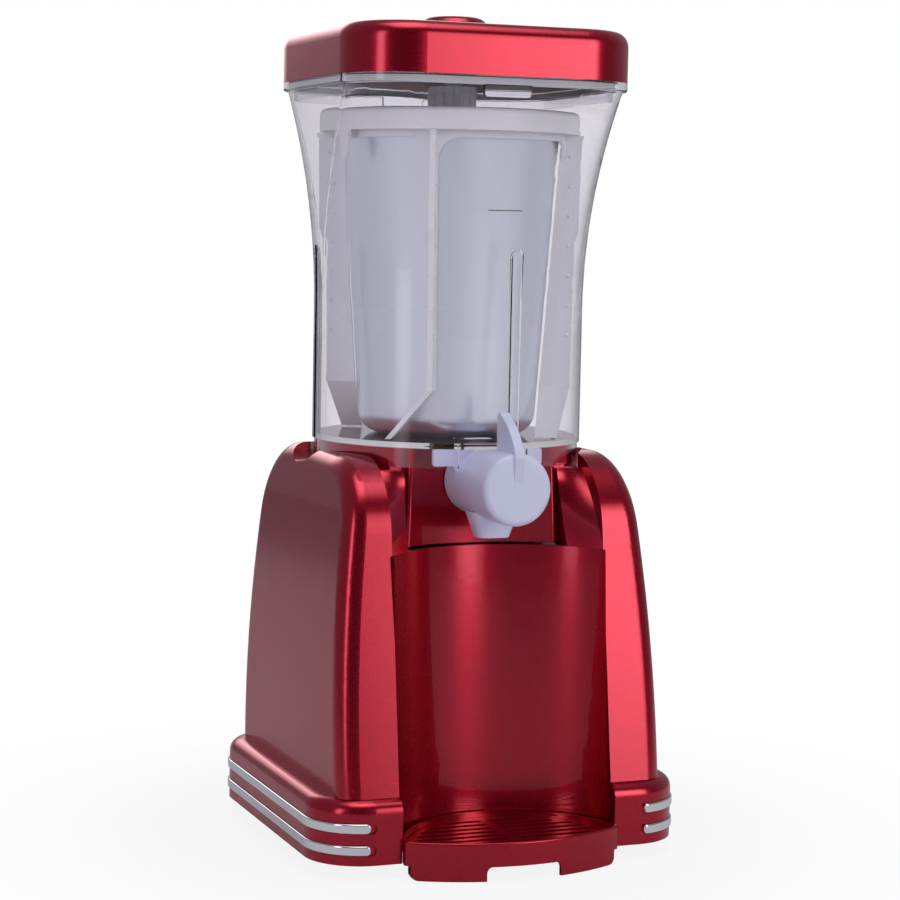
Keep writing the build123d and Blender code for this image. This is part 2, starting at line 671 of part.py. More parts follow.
pivot = Pos(SWITCH_X, pivot_y, SWITCH_Z) * Rot(0, 90, 0) * Cylinder(1.0 + RUN, rock_w + SWITCH_WALL)
save("switch_bezel", bezel + flange - pocket - pivot)
face_r = rock_h / 2 - ROCKER_GAP
rocker_side = make_face(Polyline(
    (pivot_y - 2, SWITCH_Z - 2), (pivot_y + ROCKER_PIVOT_IN + 1, SWITCH_Z - face_r),
    (pivot_y + ROCKER_PIVOT_IN + 3.4, SWITCH_Z - face_r), (pivot_y + ROCKER_PIVOT_IN + 1.4, SWITCH_Z),
    (pivot_y + ROCKER_PIVOT_IN + 1.4, SWITCH_Z + face_r), (pivot_y + ROCKER_PIVOT_IN + 0.4, SWITCH_Z + face_r),
    (pivot_y - 2, SWITCH_Z + 2), close=True,
))
rocker = extrude(Plane.YZ * rocker_side, rock_w / 2 - FIT, both=True)
rocker = Pos(SWITCH_X, 0, 0) * rocker
pins = Pos(SWITCH_X, pivot_y, SWITCH_Z) * Rot(0, 90, 0) * Cylinder(1.0, rock_w + SWITCH_WALL - 2 * RUN)
save("switch_rocker", rocker + pins)

# bush round the cord's opening
bush_y = rear_inside_y(INLET_Z) + WALL
bush = rod_y(INLET_R + WALL / 2 - RUN, bush_y - WALL - 2, bush_y + FIT, INLET_X, INLET_Z)
bush = bush + rod_y(INLET_R + WALL, bush_y + FIT, bush_y + FIT + 2, INLET_X, INLET_Z)
bush = bush + rod_y(INLET_R + WALL, bush_y - WALL - 3.5, bush_y - WALL - 1.5, INLET_X, INLET_Z)
save("cord_bush", bush - rod_y(INLET_R - 1, 0, HIGH, INLET_X, INLET_Z))

# ---------------------------------------------------------------- container
def bowl_spread(z):
    """How far the container has opened from round to squared, from 0 to 1."""
    return max(0.0, (z - BOWL_FLARE_Z) / (RIM_Z - BOWL_FLARE_Z)) ** 2


def bowl_layer(z, inset):
    share = bowl_spread(z)
    half = BOWL_R + share * (BOWL_RIM_HALF - BOWL_R) - inset
    corner = BOWL_R - 0.4 + share * (BOWL_RIM_CORNER - BOWL_R) - inset
    return Pos(0, 0, z) * RectangleRounded(2 * half, 2 * half, corner)


def bowl_form(inset, z0, z1):
    """The container's outer or inner form: a round tube that flares into a squared top."""
    flare = [bowl_layer(z, inset) for z in bowl_levels(z1)]
    return extrude(bowl_layer(z0, inset), BOWL_FLARE_Z - z0) + loft(flare)


def bowl_levels(z1, count=6):
    return [BOWL_FLARE_Z + k * (z1 - BOWL_FLARE_Z) / count for k in range(count + 1)]


bowl = bowl_form(0, SEAT_Z, RIM_Z)
bowl = bowl + (rod_z(SKIRT_R, SKIRT_Z, SEAT_Z + 1) - rod_z(SKIRT_R - SKIRT_WALL, 0, HIGH))
rim = rounded_block(RIM_HALF, -RIM_HALF, RIM_HALF, RIM_CORNER, RIM_Z, RIM_Z + RIM_T)
bowl = bowl + fillet(rim.edges().group_by(Axis.Z)[0], 1.2)
# a catch lug under the rim at the front and at the back
lug = block(-LUG_W / 2, LUG_W / 2, -RIM_HALF, LUG_T - RIM_HALF, RIM_Z - LUG_DROP, RIM_Z + 1)
lug = fillet(lug.edges().filter_by(Axis.Y).group_by(Axis.Z)[0], LUG_T / 2)
bowl = bowl + lug + Rot(0, 0, 180) * lug
# four ribs guide the slush; each has a groove behind it
rib_y = -(BOWL_R - BOWL_WALL - RIB_IN + RIB_R)
ribs = spread(rod_z(RIB_R, FLOOR_Z - 1, RIB_TOP_Z - RIB_R, 0, rib_y)
    + Pos(0, rib_y, RIB_TOP_Z - RIB_R) * Sphere(RIB_R), RIB_TURNS)
groove_y = -(BOWL_R - BOWL_WALL + GROOVE_R + RIB_IN / 2)
groove = rod_z(GROOVE_R, 0, RIB_TOP_Z - GROOVE_R, 0, groove_y)
groove = groove + Pos(0, groove_y, RIB_TOP_Z - GROOVE_R) * Sphere(GROOVE_R)
grooves = spread(groove, RIB_TURNS)
inside = bowl_form(BOWL_WALL, FLOOR_Z, RIM_Z)
for rib in ribs:
    inside = inside - rib
mouth = bowl_layer(RIM_Z, BOWL_WALL)
container = bowl - inside - extrude(mouth, RIM_T + 1)
for cut in grooves:
    container = container - cut
# collar round the spindle above the floor, bearing boss below it
container = container + rod_z(COLLAR_R, FLOOR_Z - 1, FLOOR_Z + COLLAR_H) + rod_z(BOSS_R, BOSS_Z, SEAT_Z + 1)
container = container - rod_z(BUSH_R, BOSS_Z - 1, FLOOR_Z + COLLAR_H + 1)
# outlet duct under the floor, open to a sump in the floor in front of the collar
duct = rod_y(DUCT_R, -DUCT_FRONT, -DUCT_BACK, 0, TAP_Z)
duct = duct + block(-DUCT_R, DUCT_R, -BARREL_BACK + FIT, -DUCT_BACK, TAP_Z, SEAT_Z + 1)
duct_bore = rod_y(DUCT_BORE_R, -DUCT_FRONT - 1, -DUCT_BACK - SKIRT_WALL, 0, TAP_Z)
sump = block(-DUCT_BORE_R, DUCT_BORE_R, -BARREL_BACK + 2, -DUCT_BACK - SKIRT_WALL, TAP_Z, FLOOR_Z + 1)
sump = fillet(sump.edges().filter_by(Axis.Z), 3)
# the skirt is open at the front where the tap's barrel comes through
skirt_gap = block(-BARREL_R - 1, BARREL_R + 1, -HIGH, -BARREL_BACK, 0, SEAT_Z)
container = container - skirt_gap - sump
save("container", container)
duct = duct & block(-HIGH, HIGH, -HIGH, HIGH, 0, SEAT_Z)
save("outlet_duct", duct - duct_bore - sump)
save("floor_bush", rod_z(BUSH_R, BOSS_Z, FLOOR_Z) - rod_z(SPINDLE_R + RUN, 0, HIGH))
seal = rod_z(BUSH_R, FLOOR_Z, FLOOR_Z + COLLAR_H) - rod_z(SPINDLE_R + RUN, 0, HIGH)
save("shaft_seal", seal)

# ---------------------------------------------------------------- tap
barrel = rod_y(BARREL_R, -BARREL_FRONT, -BARREL_BACK, 0, TAP_Z)


def nozzle_layer(size, z, inset=0.0):
    w, d = size[0] - 2 * inset, size[1] - 2 * inset
    return Pos(0, -PORT_Y, z) * RectangleRounded(w, d, min(w, d) * 0.35)


nozzle = loft([nozzle_layer(NOZZLE_LOW, NOZZLE_Z), nozzle_layer(NOZZLE_HIGH, TAP_Z - BARREL_BORE_R)])
nozzle_bore = loft([
    nozzle_layer(NOZZLE_LOW, NOZZLE_Z - 0.01, NOZZLE_WALL),
    nozzle_layer(NOZZLE_HIGH, TAP_Z - BARREL_R + NOZZLE_WALL, NOZZLE_WALL),
])
nozzle_bore = nozzle_bore & block(-HIGH, HIGH, -HIGH, HIGH, 0, TAP_Z - BARREL_R)
# two ears clip the barrel to the container
clip_back = -CLIP_Y + CLIP_T
clip_high = CLIP_LOW_Z + CLIP_H
ears = block(-CLIP_HALF_W, CLIP_HALF_W, -CLIP_Y, clip_back, CLIP_LOW_Z + CLIP_EAR_UP, clip_high)
ears = ears + block(-CLIP_EAR_IN_X, CLIP_EAR_IN_X, -CLIP_Y, clip_back, CLIP_LOW_Z, clip_high)
ears = fillet(ears.edges().filter_by(Axis.Y), 1.5)
tap_body = barrel + ears + nozzle - nozzle_bore
tap_body = tap_body - rod_y(BARREL_BORE_R, -HIGH, 0, 0, TAP_Z) - rod_z(PORT_R, 0, TAP_Z, 0, -PORT_Y)
save("tap_body", tap_body)
plug = rod_y(BARREL_BORE_R - RUN, -BARREL_FRONT - 1, -DUCT_FRONT - FIT, 0, TAP_Z)
plug = plug - rod_y(DUCT_BORE_R, -BARREL_FRONT + 3, 0, 0, TAP_Z)
plug = plug - Pos(0, -PORT_Y, TAP_Z) * Rot(0, 90, 0) * extrude(Circle(PORT_R), HIGH)
save("tap_plug", plug)

knob = rod_y(KNOB_R, -KNOB_FRONT, -BARREL_FRONT - FIT, 0, TAP_Z)
knob = fillet(knob.edges().group_by(Axis.Y)[0], KNOB_ROUND)
knob = knob - rod_y(BARREL_BORE_R, -BARREL_FRONT - 1, 0, 0, TAP_Z)
# the lever is a fin in the middle of the knob, with a straight back and a curved front
fin_back = -BARREL_FRONT - 1.4
fin = Line((fin_back, TAP_Z), (fin_back, FIN_TOP_Z - 3))
fin = fin + ThreePointArc((fin_back, FIN_TOP_Z - 3), (fin_back - 2, FIN_TOP_Z), (fin_back - 5, FIN_TOP_Z - 1.5))
fin = fin + ThreePointArc(
    (fin_back - 5, FIN_TOP_Z - 1.5), (fin_back - 19, FIN_TOP_Z - 11), (-KNOB_FRONT - 1.6, TAP_Z + KNOB_R - 2)
)
fin = fin + Line((-KNOB_FRONT - 1.6, TAP_Z + KNOB_R - 2), (-KNOB_FRONT, TAP_Z + 4)) + Line(
    (-KNOB_FRONT, TAP_Z + 4), (fin_back, TAP_Z)
)
fin = extrude(Plane.YZ * make_face(fin), FIN_T / 2, both=True)
knob = knob + fin - rod_y(BARREL_BORE_R, -BARREL_FRONT - 3, 0, 0, TAP_Z)
save("tap_knob", knob)


# ---------------------------------------------------------------- spindle and ice canister
square_z = CAGE_TOP_Z - 2 * CAGE_PLATE_T
square_top = HUB_Z + HUB_H - 3
spindle = rod_z(SPINDLE_R, BOSS_Z - CLUTCH_T - FIT, square_z)
half = DRIVE_SQUARE / 2
spindle = spindle + block(-half, half, -half, half, square_z - 1, square_top)
save("spindle", spindle)


def can_radius(z):
    """Outer radius of the tapered canister at a height."""
    return CAN_LOW_R + (z - FLOOR_Z) * (CAN_LIP_R - CAN_LOW_R) / (CAN_TOP_Z - FLOOR_Z)


can_z = FLOOR_Z + FIT
tube_r = CAN_TUBE_R + CAN_WALL
can_outer = turned([
    (CAN_TUBE_R, can_z), (can_radius(can_z), can_z), (CAN_LIP_R, CAN_TOP_Z), (CAN_TUBE_R, CAN_TOP_Z)
])
can_outer = fillet(can_outer.edges().group_by(Axis.Z)[0].sort_by(SortBy.RADIUS)[-1], CAN_EDGE_R)
can_inner = turned([
    (tube_r, can_z + CAN_WALL), (can_radius(can_z) - CAN_WALL, can_z + CAN_WALL),
    (CAN_LIP_R - CAN_WALL, CAN_TOP_Z + 1), (tube_r, CAN_TOP_Z + 1),
])
can_inner = fillet(can_inner.edges().group_by(Axis.Z)[0].sort_by(SortBy.RADIUS)[-1], CAN_EDGE_R - CAN_WALL)
lip = turned([
    (CAN_LIP_R - CAN_WALL, CAN_TOP_Z - 2), (CAN_LIP_R + 0.5, CAN_TOP_Z - 2),
    (CAN_LIP_R + 0.5, CAN_TOP_Z), (CAN_LIP_R - CAN_WALL, CAN_TOP_Z),
])
ice_canister = can_outer - can_inner + lip
save("ice_canister", ice_canister)

cap_r = CAN_LIP_R - CAN_WALL - 2 * FIT
canister_cap = turned([
    (CAN_TUBE_R, CAN_TOP_Z + FIT), (CAN_LIP_R, CAN_TOP_Z + FIT),
    (CAN_LIP_R, CAN_TOP_Z + FIT + CAP_T), (CAN_TUBE_R, CAN_TOP_Z + FIT + CAP_T),
])
cap_plug = rod_z(cap_r - 1.6, CAN_TOP_Z - CAP_PLUG, CAN_TOP_Z + FIT + 1)
cap_plug = cap_plug - rod_z(cap_r - 3.2, 0, HIGH)
tube_plug = rod_z(tube_r + FIT + 1.6, CAN_TOP_Z - CAP_PLUG, CAN_TOP_Z + FIT + 1) - rod_z(tube_r + FIT, 0, HIGH)
canister_cap = canister_cap + cap_plug + tube_plug - rod_z(tube_r + FIT, 0, CAN_TOP_Z + FIT)
save("canister_cap", canister_cap)
cap_seal = rod_z(cap_r, CAN_TOP_Z - CAP_PLUG + 1.5, CAN_TOP_Z - 1.5) - rod_z(cap_r - 1.6, 0, HIGH)
save("cap_seal", cap_seal)

# ---------------------------------------------------------------- scraper cage and its cover
plate_z = CAGE_TOP_Z - CAGE_PLATE_T
band_z = CAGE_TOP_Z - CAGE_BAND_H
ring_top_z = plate_z - FIT
ring_z = CAGE_TOP_Z - CAGE_RING_H
tab_r = CAGE_R - CAGE_PLATE_T - FIT
arm_turns = [ARM_FRONT_TURN + k * 360 / ARM_COUNT for k in range(ARM_COUNT)]


def scrape_r(z):
    """Inner edge of an arm, just clear of the canister."""
    return can_radius(z) + SCRAPE_GAP


def arm():
    """One scraper arm at the front: a flat blade with two arched gussets and a trailing foot."""
    top_z = band_z - FIT
    blade = make_face(Polyline(
        (scrape_r(top_z), top_z), (CAGE_RING_R - 1, ring_top_z), (tab_r, ring_top_z), (tab_r, top_z),
        (ARM_TOP_R, top_z), (ARM_TOP_R, top_z - 2), (ARM_TOP_R - 1, top_z - 3),
        (ARM_MID_R, ARM_STEP_Z + 6), (ARM_STEP_R, ARM_STEP_Z), (ARM_LOW_R, ARM_FOOT_Z + 4),
        (ARM_LOW_R + 0.6, ARM_FOOT_Z), (scrape_r(ARM_FOOT_Z), ARM_FOOT_Z),
        close=True,
    ))
    blade = Rot(0, 0, -90) * extrude(Plane.XZ * blade, ARM_T / 2, both=True)
    corner = make_face(
        Line((0, 0), (ARCH_R + ARM_T / 2, 0))
        + ThreePointArc(
            (ARCH_R + ARM_T / 2, 0), (ARM_T / 2 + ARCH_R * (1 - math.sqrt(0.5)), -ARCH_R * (1 - math.sqrt(0.5))),
            (ARM_T / 2, -ARCH_R),
        )
        + Line((ARM_T / 2, -ARCH_R), (0, -ARCH_R)) + Line((0, -ARCH_R), (0, 0))
    )
    gusset = extrude(Plane.XZ * corner, HIGH)
    gusset = Pos(0, 0, ring_z) * (gusset + mirror(gusset, Plane.YZ))
    gusset = gusset & (rod_z(CAGE_RING_R, 0, HIGH) - rod_z(CAGE_RING_R - CAGE_PLATE_T, 0, HIGH))
    foot_z = FLOOR_Z + FOOT_GAP
    low_r = scrape_r(ARM_FOOT_Z)
    top = Pos(0, -(low_r + ARM_LOW_R) / 2, ARM_FOOT_Z) * Rectangle(ARM_T, ARM_LOW_R - low_r)
    tip_x = -FOOT_SHIFT
    tip = Pos(tip_x, -(low_r + FOOT_TIP_R) / 2, foot_z) * Rectangle(ARM_T, FOOT_TIP_R - low_r)
    return blade + gusset + loft([tip, top], ruled=True)


cage = rod_z(CAGE_RING_R, ring_z, ring_top_z) - rod_z(CAGE_RING_R - CAGE_PLATE_T, 0, HIGH)
for blade in spread(arm(), arm_turns):
    cage = cage + blade
save("scraper_cage", cage)

# the cover: a plate with a band round it, lugs that drive the arms, and two grip hooks
cover = rod_z(CAGE_R, band_z, CAGE_TOP_Z)
cover = fillet(cover.edges().group_by(Axis.Z)[-1], COVER_EDGE_R)
cover = cover - rod_z(CAGE_R - CAGE_PLATE_T, band_z - 1, plate_z)
lug_in = ARM_T / 2 + FIT
drive_lug = block(lug_in, lug_in + DRIVE_LUG_T, -tab_r, -CAGE_RING_R - FIT, band_z + 1, plate_z + 1)
for pair in spread(drive_lug + mirror(drive_lug, Plane.YZ), arm_turns):
    cover = cover + pair
hook = make_face(Polyline((-5, 0), (5, 0), (5, -20), (1, -25), (-2, -23), (-3, -14), (-5, -12), close=True))
hook = Pos(0, 0, CAGE_TOP_Z - 4) * extrude(Plane.XZ * hook, HIGH)
hook = hook & (rod_z(CAGE_R, 0, HIGH) - rod_z(CAGE_R - CAGE_PLATE_T, 0, HIGH))
for grip in spread(hook, HOOK_TURNS):
    cover = cover + grip
cover = cover + rod_z(NECK_R, CAGE_TOP_Z - 1, HUB_Z)
save("cage_cover", cover - rod_z(SPINDLE_R + FIT, 0, HIGH))

hub = rod_z(HUB_R, HUB_Z, HUB_Z + HUB_H)
flute_r = math.pi * HUB_R / HUB_FLUTES * 0.55
for k in range(HUB_FLUTES):
    flute = Rot(0, 0, k * 360 / HUB_FLUTES) * rod_z(flute_r, HUB_Z - 1, HUB_Z + HUB_H + 1, HUB_R + flute_r * 0.4)
    hub = hub - flute
hub = hub + rod_z(JOURNAL_R, HUB_Z + HUB_H - 1, HUB_Z + HUB_H + JOURNAL_H)
hole = half + FIT
hub = hub - block(-hole, hole, -hole, hole, HUB_Z - 1, square_top + FIT)
save("cage_hub", hub)

# ---------------------------------------------------------------- lid
lid = rounded_block(RIM_HALF, -RIM_HALF, RIM_HALF, RIM_CORNER, LID_Z, LID_TOP_Z)
lid = fillet(lid.edges().group_by(Axis.Z)[-1], LID_EDGE_R)
button = rod_z(BUTTON_R, LID_TOP_Z - 1, LID_TOP_Z + BUTTON_H)
button = fillet(button.edges().group_by(Axis.Z)[-1], BUTTON_H * 0.7)
lid_inside = rounded_block(
    RIM_HALF - LID_WALL, -RIM_HALF + LID_WALL, RIM_HALF - LID_WALL, RIM_CORNER - LID_WALL,
    LID_Z - 1, LID_TOP_Z - LID_WALL,
)
lid_inside = fillet(lid_inside.edges().group_by(Axis.Z)[-1], LID_EDGE_R - LID_WALL)
save("lid_shell", lid + button - lid_inside)

plug_half = BOWL_RIM_HALF - BOWL_WALL - 1.6
plug_corner = BOWL_RIM_CORNER
liner = rounded_block(RIM_HALF - LID_WALL - FIT, -RIM_HALF + LID_WALL + FIT, RIM_HALF - LID_WALL - FIT,
                      RIM_CORNER - LID_WALL - FIT, LINER_Z, LINER_Z + PLUG_WALL)
skirt = rounded_block(plug_half, -plug_half, plug_half, plug_corner, PLUG_Z, LINER_Z + 1)
skirt = skirt - rounded_block(
    plug_half - PLUG_WALL, PLUG_WALL - plug_half, plug_half - PLUG_WALL, plug_corner - PLUG_WALL, 0, HIGH
)
steady_z = HUB_Z + HUB_H + FIT
liner = liner + skirt + rod_z(STEADY_R, steady_z, LINER_Z + 1)
liner = liner - rod_z(JOURNAL_R + FIT, 0, steady_z + JOURNAL_H + FIT)
save("lid_liner", liner)
gasket_z = RIM_Z + (RIM_T - GASKET_H) / 2
gasket = rounded_block(
    plug_half + 1.3, -plug_half - 1.3, plug_half + 1.3, plug_corner + 1.3, gasket_z, gasket_z + GASKET_H
)
gasket = gasket - rounded_block(plug_half, -plug_half, plug_half, plug_corner, 0, HIGH)
save("lid_gasket", gasket)



# ---------------------------------------------------------------- gears
def spur(teeth, z0, height, turn, x=0.0, y=0.0):
    """Spur gear with stub involute teeth; one tooth points at the turn, in degrees."""
    pitch_r = MODULE * teeth / 2
    base_r = pitch_r * math.cos(PRESSURE_ANGLE)
    half_pitch = math.pi / (2 * teeth) - BACKLASH / (4 * pitch_r)
    roll = math.tan(PRESSURE_ANGLE) - PRESSURE_ANGLE
    root_r = pitch_r - DEDENDUM * MODULE
    points = []
    for k in range(teeth):
        mid = math.radians(turn) + 2 * math.pi * k / teeth
        flank = []
        for r in (root_r, pitch_r, pitch_r + ADDENDUM * MODULE):
            lean = math.acos(min(1.0, base_r / r))
            flank.append((r, half_pitch + roll - (math.tan(lean) - lean)))
        flank[0] = (root_r, min(flank[0][1], flank[1][1] * 1.12))
        for r, half_angle in flank:
            points.append((r * math.cos(mid - half_angle), r * math.sin(mid - half_angle)))
        for r, half_angle in reversed(flank):
            points.append((r * math.cos(mid + half_angle), r * math.sin(mid + half_angle)))
    return Pos(x, y, z0) * extrude(make_face(Polyline(*points, close=True)), height)


wheel_y = MODULE * (SMALL_TEETH + OUTPUT_TEETH) / 2
motor_reach = MODULE * (PINION_TEETH + WHEEL_TEETH) / 2
motor_x = motor_reach * math.cos(math.radians(MOTOR_TURN))
motor_y = wheel_y + motor_reach * math.sin(math.radians(MOTOR_TURN))
floor_top_z = GEARBOX_Z + GEARBOX_WALL

output_gear = spur(OUTPUT_TEETH, HIGH_GEAR_Z, HIGH_GEAR_H, 90)
output_gear = output_gear + rod_z(2 * SPINDLE_R, floor_top_z + FIT, HIGH_GEAR_Z + 1)
output_gear = output_gear - rod_z(SPINDLE_R, 0, HIGH)
save("output_gear", output_gear)
wheel = spur(WHEEL_TEETH, LOW_GEAR_Z, LOW_GEAR_H, MOTOR_TURN, 0, wheel_y)
small_turn = -90 + 180 / SMALL_TEETH
small_gear_z = LOW_GEAR_Z + LOW_GEAR_H - 1
wheel = wheel + spur(SMALL_TEETH, small_gear_z, HIGH_GEAR_Z + HIGH_GEAR_H - small_gear_z,
                     small_turn, 0, wheel_y)
wheel = wheel - rod_z(WHEEL_PIN_R + RUN, 0, HIGH, 0, wheel_y)
save("wheel_gear", wheel)
pinion = spur(PINION_TEETH, LOW_GEAR_Z - 1, LOW_GEAR_H + 2, MOTOR_TURN + 180 + 180 / PINION_TEETH, motor_x, motor_y)
save("motor_pinion", pinion - rod_z(MOTOR_SHAFT_R, 0, HIGH, motor_x, motor_y))

# output shaft with the lower half of the dog clutch; the upper half is on the spindle
drive_top_z = BOSS_Z - FIT - CLUTCH_T - DOG_H - DOG_GAP
spindle_disc_z = BOSS_Z - FIT - CLUTCH_T


def dogs(z0, z1, turn):
    """Three clutch dogs in a ring, standing between two heights."""
    ring = rod_z(CLUTCH_R, z0, z1) - rod_z(SPINDLE_R + WALL, 0, HIGH)
    half_span = math.radians(DOG_SPAN / 2)
    reach = 2 * CLUTCH_R
    wedge = make_face(Polyline(
        (0, 0), (reach * math.cos(half_span), -reach * math.sin(half_span)),
        (reach * math.cos(half_span), reach * math.sin(half_span)), close=True,
    ))
    wedge = Pos(0, 0, z0 - 1) * extrude(wedge, z1 - z0 + 2)
    return [ring & (Rot(0, 0, turn + k * 360 / DOG_COUNT) * wedge) for k in range(DOG_COUNT)]


drive_coupling = rod_z(CLUTCH_R, drive_top_z - CLUTCH_T, drive_top_z)
for dog in dogs(drive_top_z - 1, drive_top_z + DOG_H, 0):
    drive_coupling = drive_coupling + dog
save("drive_coupling", drive_coupling - rod_z(SPINDLE_R, 0, HIGH))
spindle_coupling = rod_z(CLUTCH_R, spindle_disc_z, spindle_disc_z + CLUTCH_T)
for dog in dogs(spindle_disc_z - DOG_H, spindle_disc_z + 1, 180 / DOG_COUNT):
    spindle_coupling = spindle_coupling + dog
save("spindle_coupling", spindle_coupling - rod_z(SPINDLE_R, 0, HIGH))
save("output_shaft", rod_z(SPINDLE_R, GEARBOX_Z, drive_top_z))

# ---------------------------------------------------------------- gearbox and motor
def gearbox_plan(grow):
    """Outline round the three shafts."""
    circles = [
        Circle(MODULE * OUTPUT_TEETH / 2 + MODULE + GEARBOX_GAP + grow),
        Pos(0, wheel_y) * Circle(MODULE * WHEEL_TEETH / 2 + MODULE + GEARBOX_GAP + grow),
        Pos(motor_x, motor_y) * Circle(MOTOR_R - WALL + grow),
    ]
    return make_hull([edge for circle in circles for edge in circle.edges()])


def ears(z0, z1):
    """Four screw ears tied to the gearbox wall."""
    plates = []
    for x, y in gearbox_spots:
        ear = rod_z(BOSS_WALL_R, z0, z1, x, y)
        plates.append(ear + block(min(x, x / 2), max(x, x / 2), y - BOSS_WALL_R, y + BOSS_WALL_R, z0, z1))
    return plates


lid_z = GEARBOX_TOP_Z
room = Pos(0, 0, floor_top_z) * extrude(gearbox_plan(0), HIGH)
housing = Pos(0, 0, GEARBOX_Z) * extrude(gearbox_plan(GEARBOX_WALL), lid_z - GEARBOX_Z)
for ear in ears(lid_z - GEARBOX_WALL, lid_z):
    housing = housing + ear
housing = housing - room
housing = housing + (rod_z(BUSH_R + GEARBOX_WALL, GEARBOX_Z, floor_top_z) - rod_z(SPINDLE_R, 0, HIGH))
housing = housing - rod_z(BUSH_R, GEARBOX_Z - 1, floor_top_z + 1)
housing = housing - rod_z(WHEEL_PIN_R, GEARBOX_Z - 1, floor_top_z + 1, 0, wheel_y)
housing = housing - rod_z(MOTOR_NECK_R, GEARBOX_Z - 1, floor_top_z + 1, motor_x, motor_y)
lid_plate = Pos(0, 0, lid_z) * extrude(gearbox_plan(GEARBOX_WALL), GEARBOX_WALL)
for ear in ears(lid_z, ear_top_z):
    lid_plate = lid_plate + ear
lid_plate = lid_plate - rod_z(BUSH_R, 0, HIGH) - rod_z(WHEEL_PIN_R, 0, HIGH, 0, wheel_y)
for x, y in gearbox_spots:
    housing = housing - rod_z(SCREW_R, 0, HIGH, x, y)
    lid_plate = lid_plate - rod_z(SCREW_R, 0, HIGH, x, y)
motor_screw_spots = [(motor_x + sx * MOTOR_SCREW_R, motor_y) for sx in (-1, 1)]
for x, y in motor_screw_spots:
    housing = housing - rod_z(SCREW_R, GEARBOX_Z - 1, floor_top_z + 1, x, y)
save("gearbox_housing", housing)
save("gearbox_lid", lid_plate)
gearbox_screw_z = lid_z - GEARBOX_WALL
save("gearbox_screws", *[
    screw_up(x, y, gearbox_screw_z, SCREW_L + 2 * GEARBOX_WALL) for x, y in gearbox_spots
])
low_bush = rod_z(BUSH_R, GEARBOX_Z, floor_top_z) - rod_z(SPINDLE_R + RUN, 0, HIGH)
high_bush = rod_z(BUSH_R, lid_z, ear_top_z) - rod_z(SPINDLE_R + RUN, 0, HIGH)
save("shaft_bushes", low_bush, high_bush)
save("wheel_pin", rod_z(WHEEL_PIN_R, GEARBOX_Z, ear_top_z, 0, wheel_y))

motor = rod_z(MOTOR_R, GEARBOX_Z - MOTOR_H, GEARBOX_Z, motor_x, motor_y)
motor = fillet(motor.edges().filter_by(GeomType.CIRCLE), 1.5)
motor = motor + rod_z(MOTOR_NECK_R - RUN, GEARBOX_Z - 1, floor_top_z, motor_x, motor_y)
motor = motor - rod_z(MOTOR_SHAFT_R + RUN, GEARBOX_Z - MOTOR_H / 2, HIGH, motor_x, motor_y)
for x, y in motor_screw_spots:
    motor = motor - rod_z(SCREW_R, GEARBOX_Z - SCREW_L / 2, GEARBOX_Z + 1, x, y)
terminals = [
    block(
        motor_x - 1, motor_x + 1,
        motor_y + sy * 6 - 2, motor_y + sy * 6 + 2,
        GEARBOX_Z - MOTOR_H - 4, GEARBOX_Z - MOTOR_H + 1,
    )
    for sy in (-1, 1)
]
for terminal in terminals:
    motor = motor + terminal
save("motor_can", motor)
save("motor_shaft", rod_z(MOTOR_SHAFT_R, GEARBOX_Z - MOTOR_H / 2, LOW_GEAR_Z + LOW_GEAR_H + 1, motor_x, motor_y))
motor_screws = []
for x, y in motor_screw_spots:
    pin = rod_z(SCREW_R - RUN, GEARBOX_Z - SCREW_L / 2 + FIT, floor_top_z, x, y)
    motor_screws.append(pin + rod_z(SCREW_HEAD_R, floor_top_z, floor_top_z + SCREW_HEAD_H, x, y))
save("motor_screws", *motor_screws)

# ---------------------------------------------------------------- drip tray
def tray_plan(inset):
    """The tray's outline: a shallow crescent between a front arc and the alcove's arc."""
    front = Pos(0, TRAY_FRONT_R - TRAY_FRONT) * Circle(TRAY_FRONT_R - inset)
    back = Pos(0, -TRAY_BACK - TRAY_BACK_R) * Circle(TRAY_BACK_R - inset)
    return front & back


def tray_slab(inset, z0, z1):
    """The tray's outline pulled up between two heights, with its two tips rounded."""
    slab = Pos(0, 0, z0) * extrude(tray_plan(inset), z1 - z0)
    tips = slab.edges().filter_by(Axis.Z)
    return fillet(tips, max(TRAY_TIP_R - inset, 1.0))


tray = tray_slab(0, FOOT_H, TRAY_RIM_Z)
tray = fillet(tray.edges().group_by(Axis.Z)[-1], TRAY_WALL * 0.4)
basin = tray_slab(TRAY_WALL, FOOT_H + TRAY_WALL, TRAY_RIM_Z + 1)
ledge = tray_slab(TRAY_WALL - 1, FOOT_H, TRAY_RIM_Z - GRILLE_DOWN - GRILLE_T) - tray_slab(
    TRAY_WALL + GRILLE_LEDGE, FOOT_H - 1, TRAY_RIM_Z
)
tray = tray - (basin - ledge)
feet = tray_slab(TRAY_SKIRT_IN, 0, FOOT_H + 1) - tray_slab(TRAY_SKIRT_IN + TRAY_WALL, -1, FOOT_H + 2)
front_y = TRAY_FRONT_R - TRAY_FRONT - math.sqrt(TRAY_FRONT_R**2 - FOOT_OUT_X**2)
feet = feet & block(-FOOT_OUT_X, FOOT_OUT_X, -HIGH, front_y + 2 * TRAY_WALL, 0, FOOT_H + 1)
notch = block(-NOTCH_HALF_W, NOTCH_HALF_W, -HIGH, 0, -1, FOOT_H)
feet = feet - fillet(notch.edges().filter_by(Axis.Y).group_by(Axis.Z)[-1], NOTCH_R)
